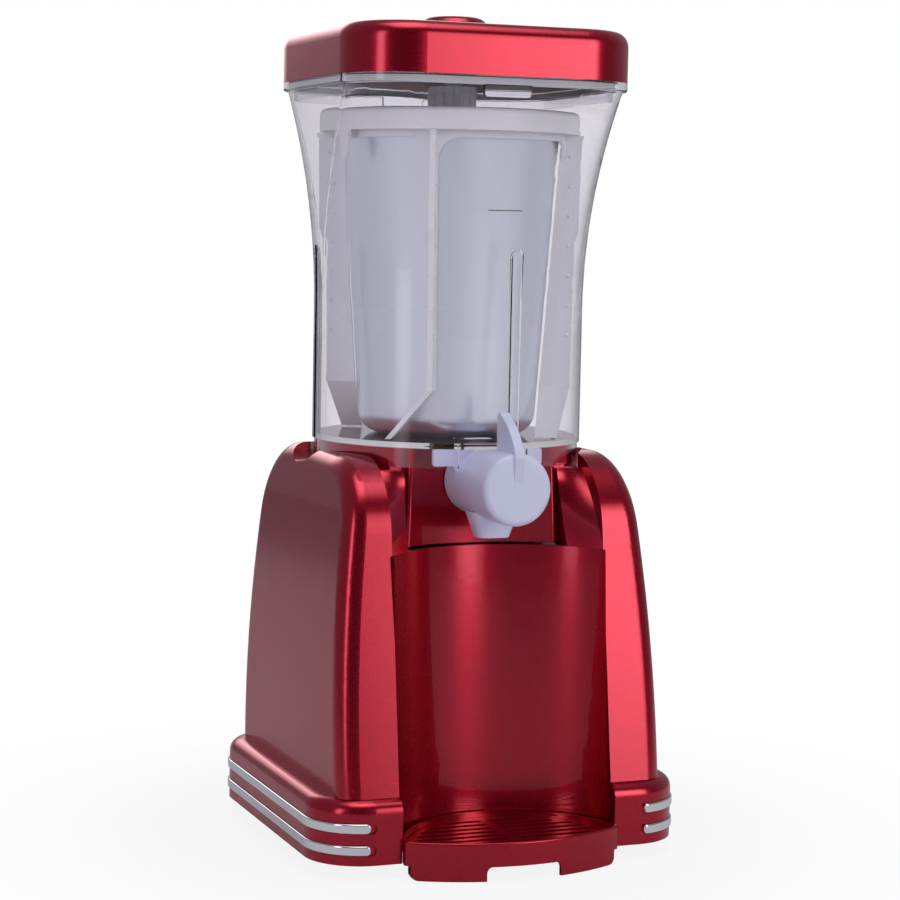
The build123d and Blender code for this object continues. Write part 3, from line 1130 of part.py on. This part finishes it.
# the outer corner of each front foot is rounded
corner = block(FOOT_OUT_X - FOOT_CORNER_R, HIGH, -HIGH, 0, -1, FOOT_CORNER_R) - rod_y(
    FOOT_CORNER_R, -HIGH, 0, FOOT_OUT_X - FOOT_CORNER_R, FOOT_CORNER_R
)
feet = feet - corner - mirror(corner, Plane.YZ)
for foot in feet.solids():
    tray = tray + foot
for sx in (-1, 1):
    tray = tray + rod_z(TRAY_FOOT_R, 0, FOOT_H + 1, sx * TRAY_FOOT_X, -TRAY_BACK - TRAY_FOOT_IN)
save("drip_tray", tray)

grille_z = TRAY_RIM_Z - GRILLE_DOWN - GRILLE_T
grille = tray_slab(TRAY_WALL + FIT, grille_z, grille_z + GRILLE_T)
middle_y = -(TRAY_FRONT + TRAY_BACK) / 2
for row in range(-SLOT_ROWS // 2 + 1, SLOT_ROWS // 2 + 1):
    y = middle_y + row * SLOT_PITCH
    slit = block(GRILLE_RIB / 2, TRAY_FRONT, y - SLOT_W / 2, y + SLOT_W / 2, grille_z - 1, grille_z + GRILLE_T + 1)
    slit = slit & tray_slab(TRAY_WALL + FIT + GRILLE_EDGE, 0, TRAY_FRONT)
    slit = fillet(slit.edges().filter_by(Axis.Z), SLOT_W * 0.3)
    grille = grille - slit - mirror(slit, Plane.YZ)
save("tray_grille", grille)
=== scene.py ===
"""Countertop slush machine, dressed for a studio picture.

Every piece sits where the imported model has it. The file follows the machine as it is put
together: the camera and the studio first, then the plinth, the cheeks and the head, the drive,
the container with its canister and scraper cage, the lid, the tap and the drip tray.
"""
import math

import bpy
from mathutils import Matrix, Vector


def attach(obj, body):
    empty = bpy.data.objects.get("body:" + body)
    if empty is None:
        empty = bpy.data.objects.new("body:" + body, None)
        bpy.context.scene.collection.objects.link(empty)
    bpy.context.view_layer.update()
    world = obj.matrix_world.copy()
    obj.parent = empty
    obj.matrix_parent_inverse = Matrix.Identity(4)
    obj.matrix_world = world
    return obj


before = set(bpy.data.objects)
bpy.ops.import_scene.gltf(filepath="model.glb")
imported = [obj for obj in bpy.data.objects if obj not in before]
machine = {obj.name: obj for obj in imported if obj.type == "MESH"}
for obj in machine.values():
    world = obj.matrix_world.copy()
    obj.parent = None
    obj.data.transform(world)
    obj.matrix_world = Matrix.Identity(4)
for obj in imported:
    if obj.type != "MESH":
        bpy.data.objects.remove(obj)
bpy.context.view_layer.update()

# ---------------------------------------------------------------- camera
# A long lens in front of the machine and to its left, level with the container and looking
# slightly down. The camera is rolled by about one degree.
camera_azimuth = math.radians(-21.42)
camera_elevation = math.radians(5.21)
camera_roll = math.radians(1.10)
camera_place = Vector((-0.4845, -1.2241, 0.3306))
back = Vector((
    math.sin(camera_azimuth) * math.cos(camera_elevation),
    -math.cos(camera_azimuth) * math.cos(camera_elevation),
    math.sin(camera_elevation),
))
level = Vector((math.cos(camera_azimuth), math.sin(camera_azimuth), 0))
upright = back.cross(level)
right = level * math.cos(camera_roll) + upright * math.sin(camera_roll)
up = upright * math.cos(camera_roll) - level * math.sin(camera_roll)
camera_data = bpy.data.cameras.new("camera")
camera_data.lens = 97.3
camera_data.sensor_width = 36.0
camera_data.clip_start = 0.05
camera = bpy.data.objects.new("camera", camera_data)
camera_turn = Matrix((right, up, back)).transposed().to_4x4()
camera.matrix_world = Matrix.Translation(camera_place) @ camera_turn
bpy.context.scene.collection.objects.link(camera)
bpy.context.scene.camera = camera


# ---------------------------------------------------------------- studio
# The machine stands on a pale sweep of paper with four soft lamps round it. The paper and the
# air behind read as white, and the paper keeps the machine's shadow.
class Wire:
    """One output of a material's node. Sums and products written on it add Math nodes."""

    def __init__(self, finish, socket):
        self.finish = finish
        self.socket = socket

    def combine(self, operation, first, second):
        return self.finish.node("ShaderNodeMath", {"operation": operation}, {0: first, 1: second})

    def __add__(self, other):
        return self.combine("ADD", self, other)

    def __radd__(self, other):
        return self.combine("ADD", other, self)

    def __rsub__(self, other):
        return self.combine("SUBTRACT", other, self)

    def __mul__(self, other):
        return self.combine("MULTIPLY", self, other)

    def __rmul__(self, other):
        return self.combine("MULTIPLY", other, self)


class Finish:
    """A material for one of the machine's finishes, built node by node."""

    def __init__(self, name):
        self.material = bpy.data.materials.new(name)
        self.material.use_nodes = True
        self.tree = self.material.node_tree
        self.tree.nodes.clear()

    def node(self, kind, settings=None, sockets=None, out=0):
        """Add a node: its settings first, then the values and links of its sockets."""
        made = self.tree.nodes.new(kind)
        for key, value in (settings or {}).items():
            setattr(made, key, value)
        for key, value in (sockets or {}).items():
            if isinstance(value, Wire):
                self.tree.links.new(value.socket, made.inputs[key])
            else:
                made.inputs[key].default_value = value
        return Wire(self, made.outputs[out]) if made.outputs else None

    def grain(self, scale, detail=2.0, stretch=(1, 1, 1)):
        """Noise from 0 to 1 on the piece's own coordinates; scale is in cells per metre."""
        place = self.node("ShaderNodeTexCoord", out="Object")
        place = self.node("ShaderNodeMapping", None, {"Vector": place, "Scale": stretch})
        noise = {"Vector": place, "Scale": scale, "Detail": detail}
        return self.node("ShaderNodeTexNoise", None, noise)

    def blend(self, share, first, second):
        """Colour between two others, the second where the share is 1."""
        return self.node(
            "ShaderNodeMix", {"data_type": "RGBA"},
            {"Factor": share, 6: (*first, 1), 7: (*second, 1)}, out=2,
        )

    def bump(self, height, depth):
        """Relief of a depth in metres, from a height that goes from 0 to 1."""
        relief = {"Height": height, "Distance": depth, "Strength": 1.0}
        return self.node("ShaderNodeBump", None, relief)

    def seen(self):
        """How much of the white background a ray sees.

        The camera sees all of it, straight or through clear plastic. A shiny piece inside clear
        plastic sees part of it, a matt one more, and a piece in the open none.
        """
        shiny_share = 0.45
        matt_share = 0.90
        straight = self.node("ShaderNodeLightPath", out="Is Camera Ray")
        through = self.node("ShaderNodeLightPath", out="Is Transmission Ray")
        scattered = self.node("ShaderNodeLightPath", out="Diffuse Depth")
        bounces = scattered + self.node("ShaderNodeLightPath", out="Glossy Depth")
        first = self.node("ShaderNodeMath", {"operation": "LESS_THAN"}, {0: bounces, 1: 0.5})
        matt = self.node("ShaderNodeMath", {"operation": "GREATER_THAN"}, {0: scattered, 1: 0.5})
        share = shiny_share + (1 - shiny_share) * first + (matt_share - shiny_share) * matt
        return straight + through * share

    def surface(self, **sockets):
        """Finish the material with one Principled surface."""
        names = {key.replace("_", " "): value for key, value in sockets.items()}
        shader = self.node("ShaderNodeBsdfPrincipled", None, names)
        self.node("ShaderNodeOutputMaterial", None, {"Surface": shader})
        return self.material


paper_colour = (0.70, 0.70, 0.72, 1)
paper_near = 0.1
paper_white_from = 0.36
paper_near_white = 0.88
paper = Finish("paper")
paper_place = paper.node("ShaderNodeTexCoord", out="Object")
paper_reach = paper.node(
    "ShaderNodeVectorMath", {"operation": "LENGTH"}, {0: paper_place}, out="Value"
)
paper_far = paper.node(
    "ShaderNodeMapRange", {"interpolation_type": "SMOOTHSTEP"},
    {
        "Value": paper_reach, "From Min": paper_near, "From Max": paper_white_from,
        "To Min": paper_near_white, "To Max": 1.0,
    },
)
paper_lit = paper.node("ShaderNodeBsdfDiffuse", None, {"Color": paper_colour})
paper_white = paper.node("ShaderNodeEmission", None, {"Color": (1, 1, 1, 1), "Strength": 1.0})
paper_mix = paper.node(
    "ShaderNodeMixShader", None, {0: paper.seen() * paper_far, 1: paper_lit, 2: paper_white}
)
paper.node("ShaderNodeOutputMaterial", None, {"Surface": paper_mix})

floor_half = 6.0
floor_mesh = bpy.data.meshes.new("floor")
floor_mesh.from_pydata(
    [
        (-floor_half, -floor_half, 0), (floor_half, -floor_half, 0),
        (floor_half, floor_half, 0), (-floor_half, floor_half, 0),
    ],
    [], [(0, 1, 2, 3)],
)
floor_mesh.materials.append(paper.material)
floor = bpy.data.objects.new("floor", floor_mesh)
bpy.context.scene.collection.objects.link(floor)


class Air(Finish):
    """The studio round the machine: dark in front, where the camera stands, and paler behind."""

    def __init__(self, name):
        world = bpy.data.worlds.new(name)
        world.use_nodes = True
        bpy.context.scene.world = world
        self.tree = world.node_tree
        self.tree.nodes.clear()


air_tint = (0.88, 0.86, 1.0, 1)
air_front, air_behind = -0.95, 0.2
air_front_level, air_behind_level = 0.04, 0.26
air = Air("air")
air_aim = air.node("ShaderNodeTexCoord", out="Generated")
air_depth = air.node("ShaderNodeSeparateXYZ", None, {"Vector": air_aim}, out="Y")
air_level = air.node(
    "ShaderNodeMapRange", {"interpolation_type": "SMOOTHSTEP"},
    {
        "Value": air_depth, "From Min": air_front, "From Max": air_behind,
        "To Min": air_front_level, "To Max": air_behind_level,
    },
)
air_dim = air.node("ShaderNodeBackground", None, {"Color": air_tint, "Strength": air_level})
air_white = air.node("ShaderNodeBackground", None, {"Color": (1, 1, 1, 1), "Strength": 1.0})
air_mix = air.node("ShaderNodeMixShader", None, {0: air.seen(), 1: air_dim, 2: air_white})
air.node("ShaderNodeOutputWorld", None, {"Surface": air_mix})
bpy.context.scene.view_settings.view_transform = "Standard"


class Cloth(Finish):
    """The cloth over a lamp's front, brightest in the middle and fading to the edges."""

    def __init__(self, lamp_data):
        lamp_data.use_nodes = True
        self.tree = lamp_data.node_tree
        self.tree.nodes.clear()
        place = self.node("ShaderNodeNewGeometry", out="Parametric")
        across = self.node("ShaderNodeSeparateXYZ", None, {"Vector": place}, out="X")
        along = self.node("ShaderNodeSeparateXYZ", None, {"Vector": place}, out="Y")
        even = 36  # keeps the lamp's whole power as it is written
        glow = even * across * (1 - across) * along * (1 - along)
        lit = self.node("ShaderNodeEmission", None, {"Strength": glow})
        self.node("ShaderNodeOutputLight", None, {"Surface": lit})


def softbox(name, place, aim, width, height, watts, tint=(1.0, 1.0, 1.0)):
    """A soft lamp that faces a point on the machine and doesn't show itself."""
    lamp_data = bpy.data.lights.new(name, "AREA")
    lamp_data.shape = "RECTANGLE"
    lamp_data.size = width
    lamp_data.size_y = height
    lamp_data.energy = watts
    lamp_data.color = tint
    Cloth(lamp_data)
    lamp = bpy.data.objects.new(name, lamp_data)
    lamp.visible_camera = False
    lamp.visible_transmission = False
    lamp.location = place
    lamp.rotation_euler = (Vector(aim) - Vector(place)).to_track_quat("-Z", "Y").to_euler()
    bpy.context.scene.collection.objects.link(lamp)
    return lamp


key_lamp = softbox(
    "lamp_right", place=(0.93, -1.65, 0.62), aim=(0, 0, 0.25), width=1.05, height=1.7, watts=11,
)
softbox(
    "lamp_left", place=(-1.65, -1.0, 0.62), aim=(0, 0, 0.25), width=0.6, height=1.7, watts=5,
    tint=(0.93, 0.89, 1.0),
)
softbox("lamp_top", place=(0, -0.3, 1.75), aim=(0, 0, 0.3), width=1.5, height=1.4, watts=10)
softbox("lamp_back", place=(0.2, 1.9, 1.0), aim=(0, 0, 0.3), width=2.0, height=1.2, watts=8)


# ---------------------------------------------------------------- plinth
# Injection-moulded ABS, hollow underneath. It is sprayed in a red with fine metal flakes and
# then lacquered, so its sheen is broad with a sharp gloss on top.
def candy_red(name):
    """Red metallic paint under clear lacquer."""
    deep, bright = (0.35, 0.002, 0.014), (0.54, 0.006, 0.034)
    flakes_per_metre = 2600
    ripples_per_metre = 35
    ripple_depth = 0.00012
    paint = Finish(name)
    flakes = paint.grain(flakes_per_metre, 1.0)
    ripples = paint.grain(ripples_per_metre, 2.0)
    return paint.surface(
        Base_Color=paint.blend(flakes, deep, bright), Metallic=0.78,
        Roughness=0.21 + 0.1 * flakes, Coat_Weight=0.5, Coat_Roughness=0.03,
        Normal=paint.bump(ripples, ripple_depth),
    )


def wear(material, *names):
    """Give machine nodes a finish in place of their plain one."""
    for name in names:
        slots = machine[name].data.materials
        slots.clear()
        slots.append(material)


red = candy_red("candy_red")
wear(red, "plinth")

# ---------------------------------------------------------------- stripes
# Two bright-plated beads run along each side of the plinth and round its front corners. They
# are moulded, chromed, and pressed into grooves.
plating = Finish("bright_plating")
wear(
    plating.surface(
        Base_Color=(0.93, 0.94, 0.96, 1), Metallic=1.0,
        Roughness=0.06 + 0.05 * plating.grain(300),
    ),
    "stripe_left_lower", "stripe_left_upper", "stripe_right_lower", "stripe_right_upper",
)

# ---------------------------------------------------------------- feet and cord's bush
# Four soft black rubber feet, whose stems are pressed into the bottom plate. The bush round
# the cord's opening in the rear panel is of the same rubber.
rubber = Finish("foot_rubber")
wear(
    rubber.surface(
        Base_Color=(0.022, 0.022, 0.024, 1), Roughness=0.62 + 0.2 * rubber.grain(900),
        Normal=rubber.bump(rubber.grain(1500), 0.00005),
    ),
    "rubber_feet", "cord_bush",
)

# ---------------------------------------------------------------- bottom plate, switch and gearbox
# Plain black mouldings with a fine spark-eroded texture. The plate is screwed under the
# plinth and the gearbox under the head, and the switch's frame is set in the rear panel.
black = Finish("black_moulding")
wear(
    black.surface(
        Base_Color=(0.02, 0.02, 0.022, 1), Roughness=0.42 + 0.16 * black.grain(700),
        Normal=black.bump(black.grain(1800), 0.00004),
    ),
    "base_plate", "switch_bezel", "switch_rocker", "gearbox_housing", "gearbox_lid",
)

# ---------------------------------------------------------------- cheeks, head and rear panel
# Hollow mouldings in the plinth's red: two cheeks screwed up through the plinth, and between
# them the curved alcove wall, the head with its turret, and a vented panel at the back.
wear(red, "left_cheek", "right_cheek", "alcove_panel", "head_shell", "rear_panel")

# ---------------------------------------------------------------- screws, motor and shafts
# Zinc-plated steel: the cross-headed screws, the drawn can of the motor, and the turned
# shafts and pins of the drive.
steel = Finish("zinc_steel")
wear(
    steel.surface(
        Base_Color=(0.58, 0.59, 0.62, 1), Metallic=1.0, Roughness=0.26 + 0.2 * steel.grain(600),
    ),
    "base_screws", "cheek_screws", "rear_screws", "gearbox_screws", "motor_screws", "wheel_pin",
    "motor_can", "motor_shaft", "output_shaft", "spindle",
)

# ---------------------------------------------------------------- bushes
# Oil-filled sintered bronze, pressed into the gearbox and into the container's boss, where
# the shafts run in them.
bronze = Finish("sintered_bronze")
wear(
    bronze.surface(
        Base_Color=(0.42, 0.26, 0.12, 1), Metallic=0.9,
        Roughness=0.45 + 0.2 * bronze.grain(2000),
    ),
    "floor_bush", "shaft_bushes",
)

# ---------------------------------------------------------------- gears and clutch
# Moulded in natural acetal, an off-white slippery plastic. The clutch has three dogs on the
# output shaft's half and three on the spindle's, which meet when the container is put on.
acetal = Finish("acetal")
wear(
    acetal.surface(
        Base_Color=(0.80, 0.79, 0.74, 1), Roughness=0.4 + 0.12 * acetal.grain(500),
    ),
    "output_gear", "wheel_gear", "motor_pinion", "drive_coupling", "spindle_coupling",
)

# ---------------------------------------------------------------- container
# Moulded in clear, faintly lilac plastic with a polished surface. The duct welded under its
# floor, which feeds the tap, and the plug inside the lid are of the same plastic.
clear = Finish("clear_plastic")
clear_body = clear.node(
    "ShaderNodeBsdfPrincipled", None,
    {
        "Base Color": (0.905, 0.89, 0.93, 1), "Transmission Weight": 1.0, "IOR": 1.49,
        "Roughness": 0.012 + 0.02 * clear.grain(40),
    },
)
clear_lit = clear.node("ShaderNodeBsdfTransparent", None, {"Color": (0.975, 0.97, 0.985, 1)})
clear_shade = clear.node("ShaderNodeLightPath", out="Is Shadow Ray")
clear_mix = clear.node(
    "ShaderNodeMixShader", None, {0: clear_shade, 1: clear_body, 2: clear_lit}
)
clear.node("ShaderNodeOutputMaterial", None, {"Surface": clear_mix})
clear_names = ("container", "outlet_duct", "lid_liner")
wear(clear.material, *clear_names)

# The right lamp's glare is kept off the clear walls, as a polarising sheet would.
clear_pieces = bpy.data.collections.new("clear_pieces")
for name in clear_names:
    clear_pieces.objects.link(machine[name])
for member in clear_pieces.collection_objects:
    member.light_linking.link_state = "EXCLUDE"
key_lamp.light_linking.receiver_collection = clear_pieces

# ---------------------------------------------------------------- fill line
# One short stroke of grey ink on the front of the container, pad-printed after moulding. It
# marks how far the container may be filled.
fill_z = 0.3402
fill_face_y = -0.0562
fill_left_x, fill_right_x = -0.0076, 0.0113
fill_half_h = 0.00025
fill_thickness = 0.0003
fill_steps = 8
fill_points = []
for step in range(fill_steps + 1):
    x = fill_left_x + (fill_right_x - fill_left_x) * step / fill_steps
    for y in (fill_face_y, fill_face_y + fill_thickness):
        fill_points += [(x, y, fill_z - fill_half_h), (x, y, fill_z + fill_half_h)]
fill_faces = [(0, 2, 3, 1), tuple(4 * fill_steps + k for k in (0, 1, 3, 2))]
for step in range(fill_steps):
    near, far = 4 * step, 4 * step + 4
    fill_faces += [
        (near, near + 1, far + 1, far), (near + 2, far + 2, far + 3, near + 3),
        (near + 1, near + 3, far + 3, far + 1), (near, far, far + 2, near + 2),
    ]
fill_mesh = bpy.data.meshes.new("fill_line")
fill_mesh.from_pydata(fill_points, [], fill_faces)
ink = Finish("grey_ink")
ink_colour = ink.blend(ink.grain(4000), (0.05, 0.05, 0.055), (0.09, 0.09, 0.1))
fill_mesh.materials.append(ink.surface(Base_Color=ink_colour, Roughness=0.5))
fill_line = bpy.data.objects.new("fill_line", fill_mesh)
bpy.context.scene.collection.objects.link(fill_line)
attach(fill_line, "bowl")

# ---------------------------------------------------------------- seals
# Soft grey silicone rings: the spindle's seal in the container's collar, the seal of the
# canister's cap, and the gasket round the lid's plug.
silicone = Finish("silicone")
wear(
    silicone.surface(
        Base_Color=(0.62, 0.62, 0.65, 1), Roughness=0.4 + 0.1 * silicone.grain(500),
    ),
    "shaft_seal", "cap_seal", "lid_gasket",
)

# ---------------------------------------------------------------- canister
# Spun from aluminium and clear-anodised, with faint turning marks round it. It is filled
# with ice and salt, and stands on the container's floor.
can = Finish("satin_aluminium")
wear(
    can.surface(
        Base_Color=(0.87, 0.91, 0.98, 1), Metallic=0.95,
        Roughness=0.27 + 0.1 * can.grain(260, 3.0, (1, 1, 0.06)),
    ),
    "ice_canister",
)

# ---------------------------------------------------------------- scraper cage, cover and cap
# Moulded in milky white plastic that lets a little light in: the cage's ring with its four
# arms, the cover hooked on top of it, and the cap pressed on the ice canister.
white = Finish("milky_moulding")
wear(
    white.surface(
        Base_Color=(0.95, 0.95, 0.98, 1), Roughness=0.3 + 0.1 * white.grain(300),
        Transmission_Weight=0.15,
    ),
    "scraper_cage", "cage_cover", "canister_cap",
)

# ---------------------------------------------------------------- cage's hub
# A fluted collar in a smokier, clearer plastic, in the middle of the cage's cover. Its square
# hole sits on the end of the spindle, which turns the cage.
smoke = Finish("smoky_hub")
wear(
    smoke.surface(
        Base_Color=(0.95, 0.95, 0.99, 1), Transmission_Weight=0.3,
        Roughness=0.2 + 0.1 * smoke.grain(400),
    ),
    "cage_hub",
)

# ---------------------------------------------------------------- pips of the scraper arms
# Each of the four arms has a row of small round pips on both its faces, which stir the slush.
# They are moulded with the cage and turn with it.
first_arm_turn = math.radians(-29.0)
pip_tree = bpy.data.node_groups.new("pip_rows", "GeometryNodeTree")
for label, kind in (
    ("Rows", "NodeSocketInt"), ("Pips", "NodeSocketInt"), ("Pitch", "NodeSocketFloat"),
    ("Pip Radius", "NodeSocketFloat"), ("Start", "NodeSocketVector"),
    ("First Turn", "NodeSocketFloat"), ("Material", "NodeSocketMaterial"),
):
    pip_tree.interface.new_socket(label, in_out="INPUT", socket_type=kind)
pip_tree.interface.new_socket("Geometry", in_out="OUTPUT", socket_type="NodeSocketGeometry")


def pip_node(kind, settings=None, sockets=None):
    """Add a node to the pips' tree: its settings, then its values and links."""
    made = pip_tree.nodes.new(kind)
    for key, value in (settings or {}).items():
        setattr(made, key, value)
    for key, value in (sockets or {}).items():
        if isinstance(value, bpy.types.NodeSocket):
            pip_tree.links.new(value, made.inputs[key])
        else:
            made.inputs[key].default_value = value
    return made


pip_in = pip_node("NodeGroupInput").outputs
pip_step = pip_node("ShaderNodeCombineXYZ", None, {"Z": pip_in["Pitch"]}).outputs[0]
pip_line = pip_node(
    "GeometryNodeMeshLine", {"mode": "OFFSET"},
    {"Count": pip_in["Pips"], "Start Location": pip_in["Start"], "Offset": pip_step},
).outputs["Mesh"]
pip_ball = pip_node(
    "GeometryNodeMeshIcoSphere", None, {"Radius": pip_in["Pip Radius"], "Subdivisions": 2}
).outputs["Mesh"]
pip_row = pip_node(
    "GeometryNodeInstanceOnPoints", None, {"Points": pip_line, "Instance": pip_ball}
).outputs["Instances"]
row_points = pip_node("GeometryNodePoints", None, {"Count": pip_in["Rows"]}).outputs[0]
row_index = pip_node("GeometryNodeInputIndex").outputs[0]
row_angle = pip_node(
    "ShaderNodeMath", {"operation": "MULTIPLY_ADD"},
    {0: row_index, 1: math.pi / 2, 2: pip_in["First Turn"]},
).outputs[0]
row_turn = pip_node("ShaderNodeCombineXYZ", None, {"Z": row_angle}).outputs[0]
pip_rows = pip_node(
    "GeometryNodeInstanceOnPoints", None,
    {"Points": row_points, "Instance": pip_row, "Rotation": row_turn},
).outputs["Instances"]
pip_solid = pip_node(
    "GeometryNodeRealizeInstances", None, {"Geometry": pip_rows}
).outputs["Geometry"]
pip_done = pip_node(
    "GeometryNodeSetMaterial", None, {"Geometry": pip_solid, "Material": pip_in["Material"]}
).outputs["Geometry"]
pip_node("NodeGroupOutput", None, {"Geometry": pip_done})

pip_axis_y = 0.018
arm_half_w = 0.0015
pip_arm_y = -0.0655
pip_top_z = 0.3700
for side, face_x in (("left", -arm_half_w), ("right", arm_half_w)):
    pip_base = bpy.data.objects.new("pip_base", bpy.data.meshes.new("pip_base"))
    bpy.context.scene.collection.objects.link(pip_base)
    pip_modifier = pip_base.modifiers.new("pips", "NODES")
    pip_modifier.node_group = pip_tree
    pip_values = {
        "Rows": 4, "Pips": 7, "Pitch": -0.016, "Pip Radius": 0.0011,
        "Start": (face_x, pip_arm_y, pip_top_z), "First Turn": first_arm_turn,
        "Material": white.material,
    }
    for item in pip_tree.interface.items_tree:
        if item.in_out == "INPUT":
            pip_modifier[item.identifier] = pip_values[item.name]
    pip_evaluated = pip_base.evaluated_get(bpy.context.evaluated_depsgraph_get())
    pip_mesh = bpy.data.meshes.new_from_object(pip_evaluated)
    pip_mesh.transform(Matrix.Translation((0, pip_axis_y, 0)))
    arm_pips = bpy.data.objects.new(f"arm_pips_{side}", pip_mesh)
    bpy.context.scene.collection.objects.link(arm_pips)
    bpy.data.objects.remove(pip_base)
    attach(arm_pips, "shaft")

# ---------------------------------------------------------------- lid
# The lid's shell is moulded in the machine's red and rests on the container's rim. Its clear
# plug and its gasket are dealt with above, with the other clear and rubbery pieces.
wear(red, "lid_shell")

# ---------------------------------------------------------------- tap
# Moulded in smooth lilac-white plastic. The body's ears clip it on the container's duct, and
# the knob's fin turns a ported plug in it.
lilac = Finish("lilac_moulding")
wear(
    lilac.surface(
        Base_Color=(0.76, 0.78, 1.0, 1), Roughness=0.26 + 0.08 * lilac.grain(300),
    ),
    "tap_body", "tap_knob", "tap_plug",
)

# ---------------------------------------------------------------- drip tray and its grille
# Two mouldings in the machine's red under the tap. The tray stands on its own feet and slides
# out forwards, and the slotted grille lies loose in its rim.
wear(red, "drip_tray", "tray_grille")
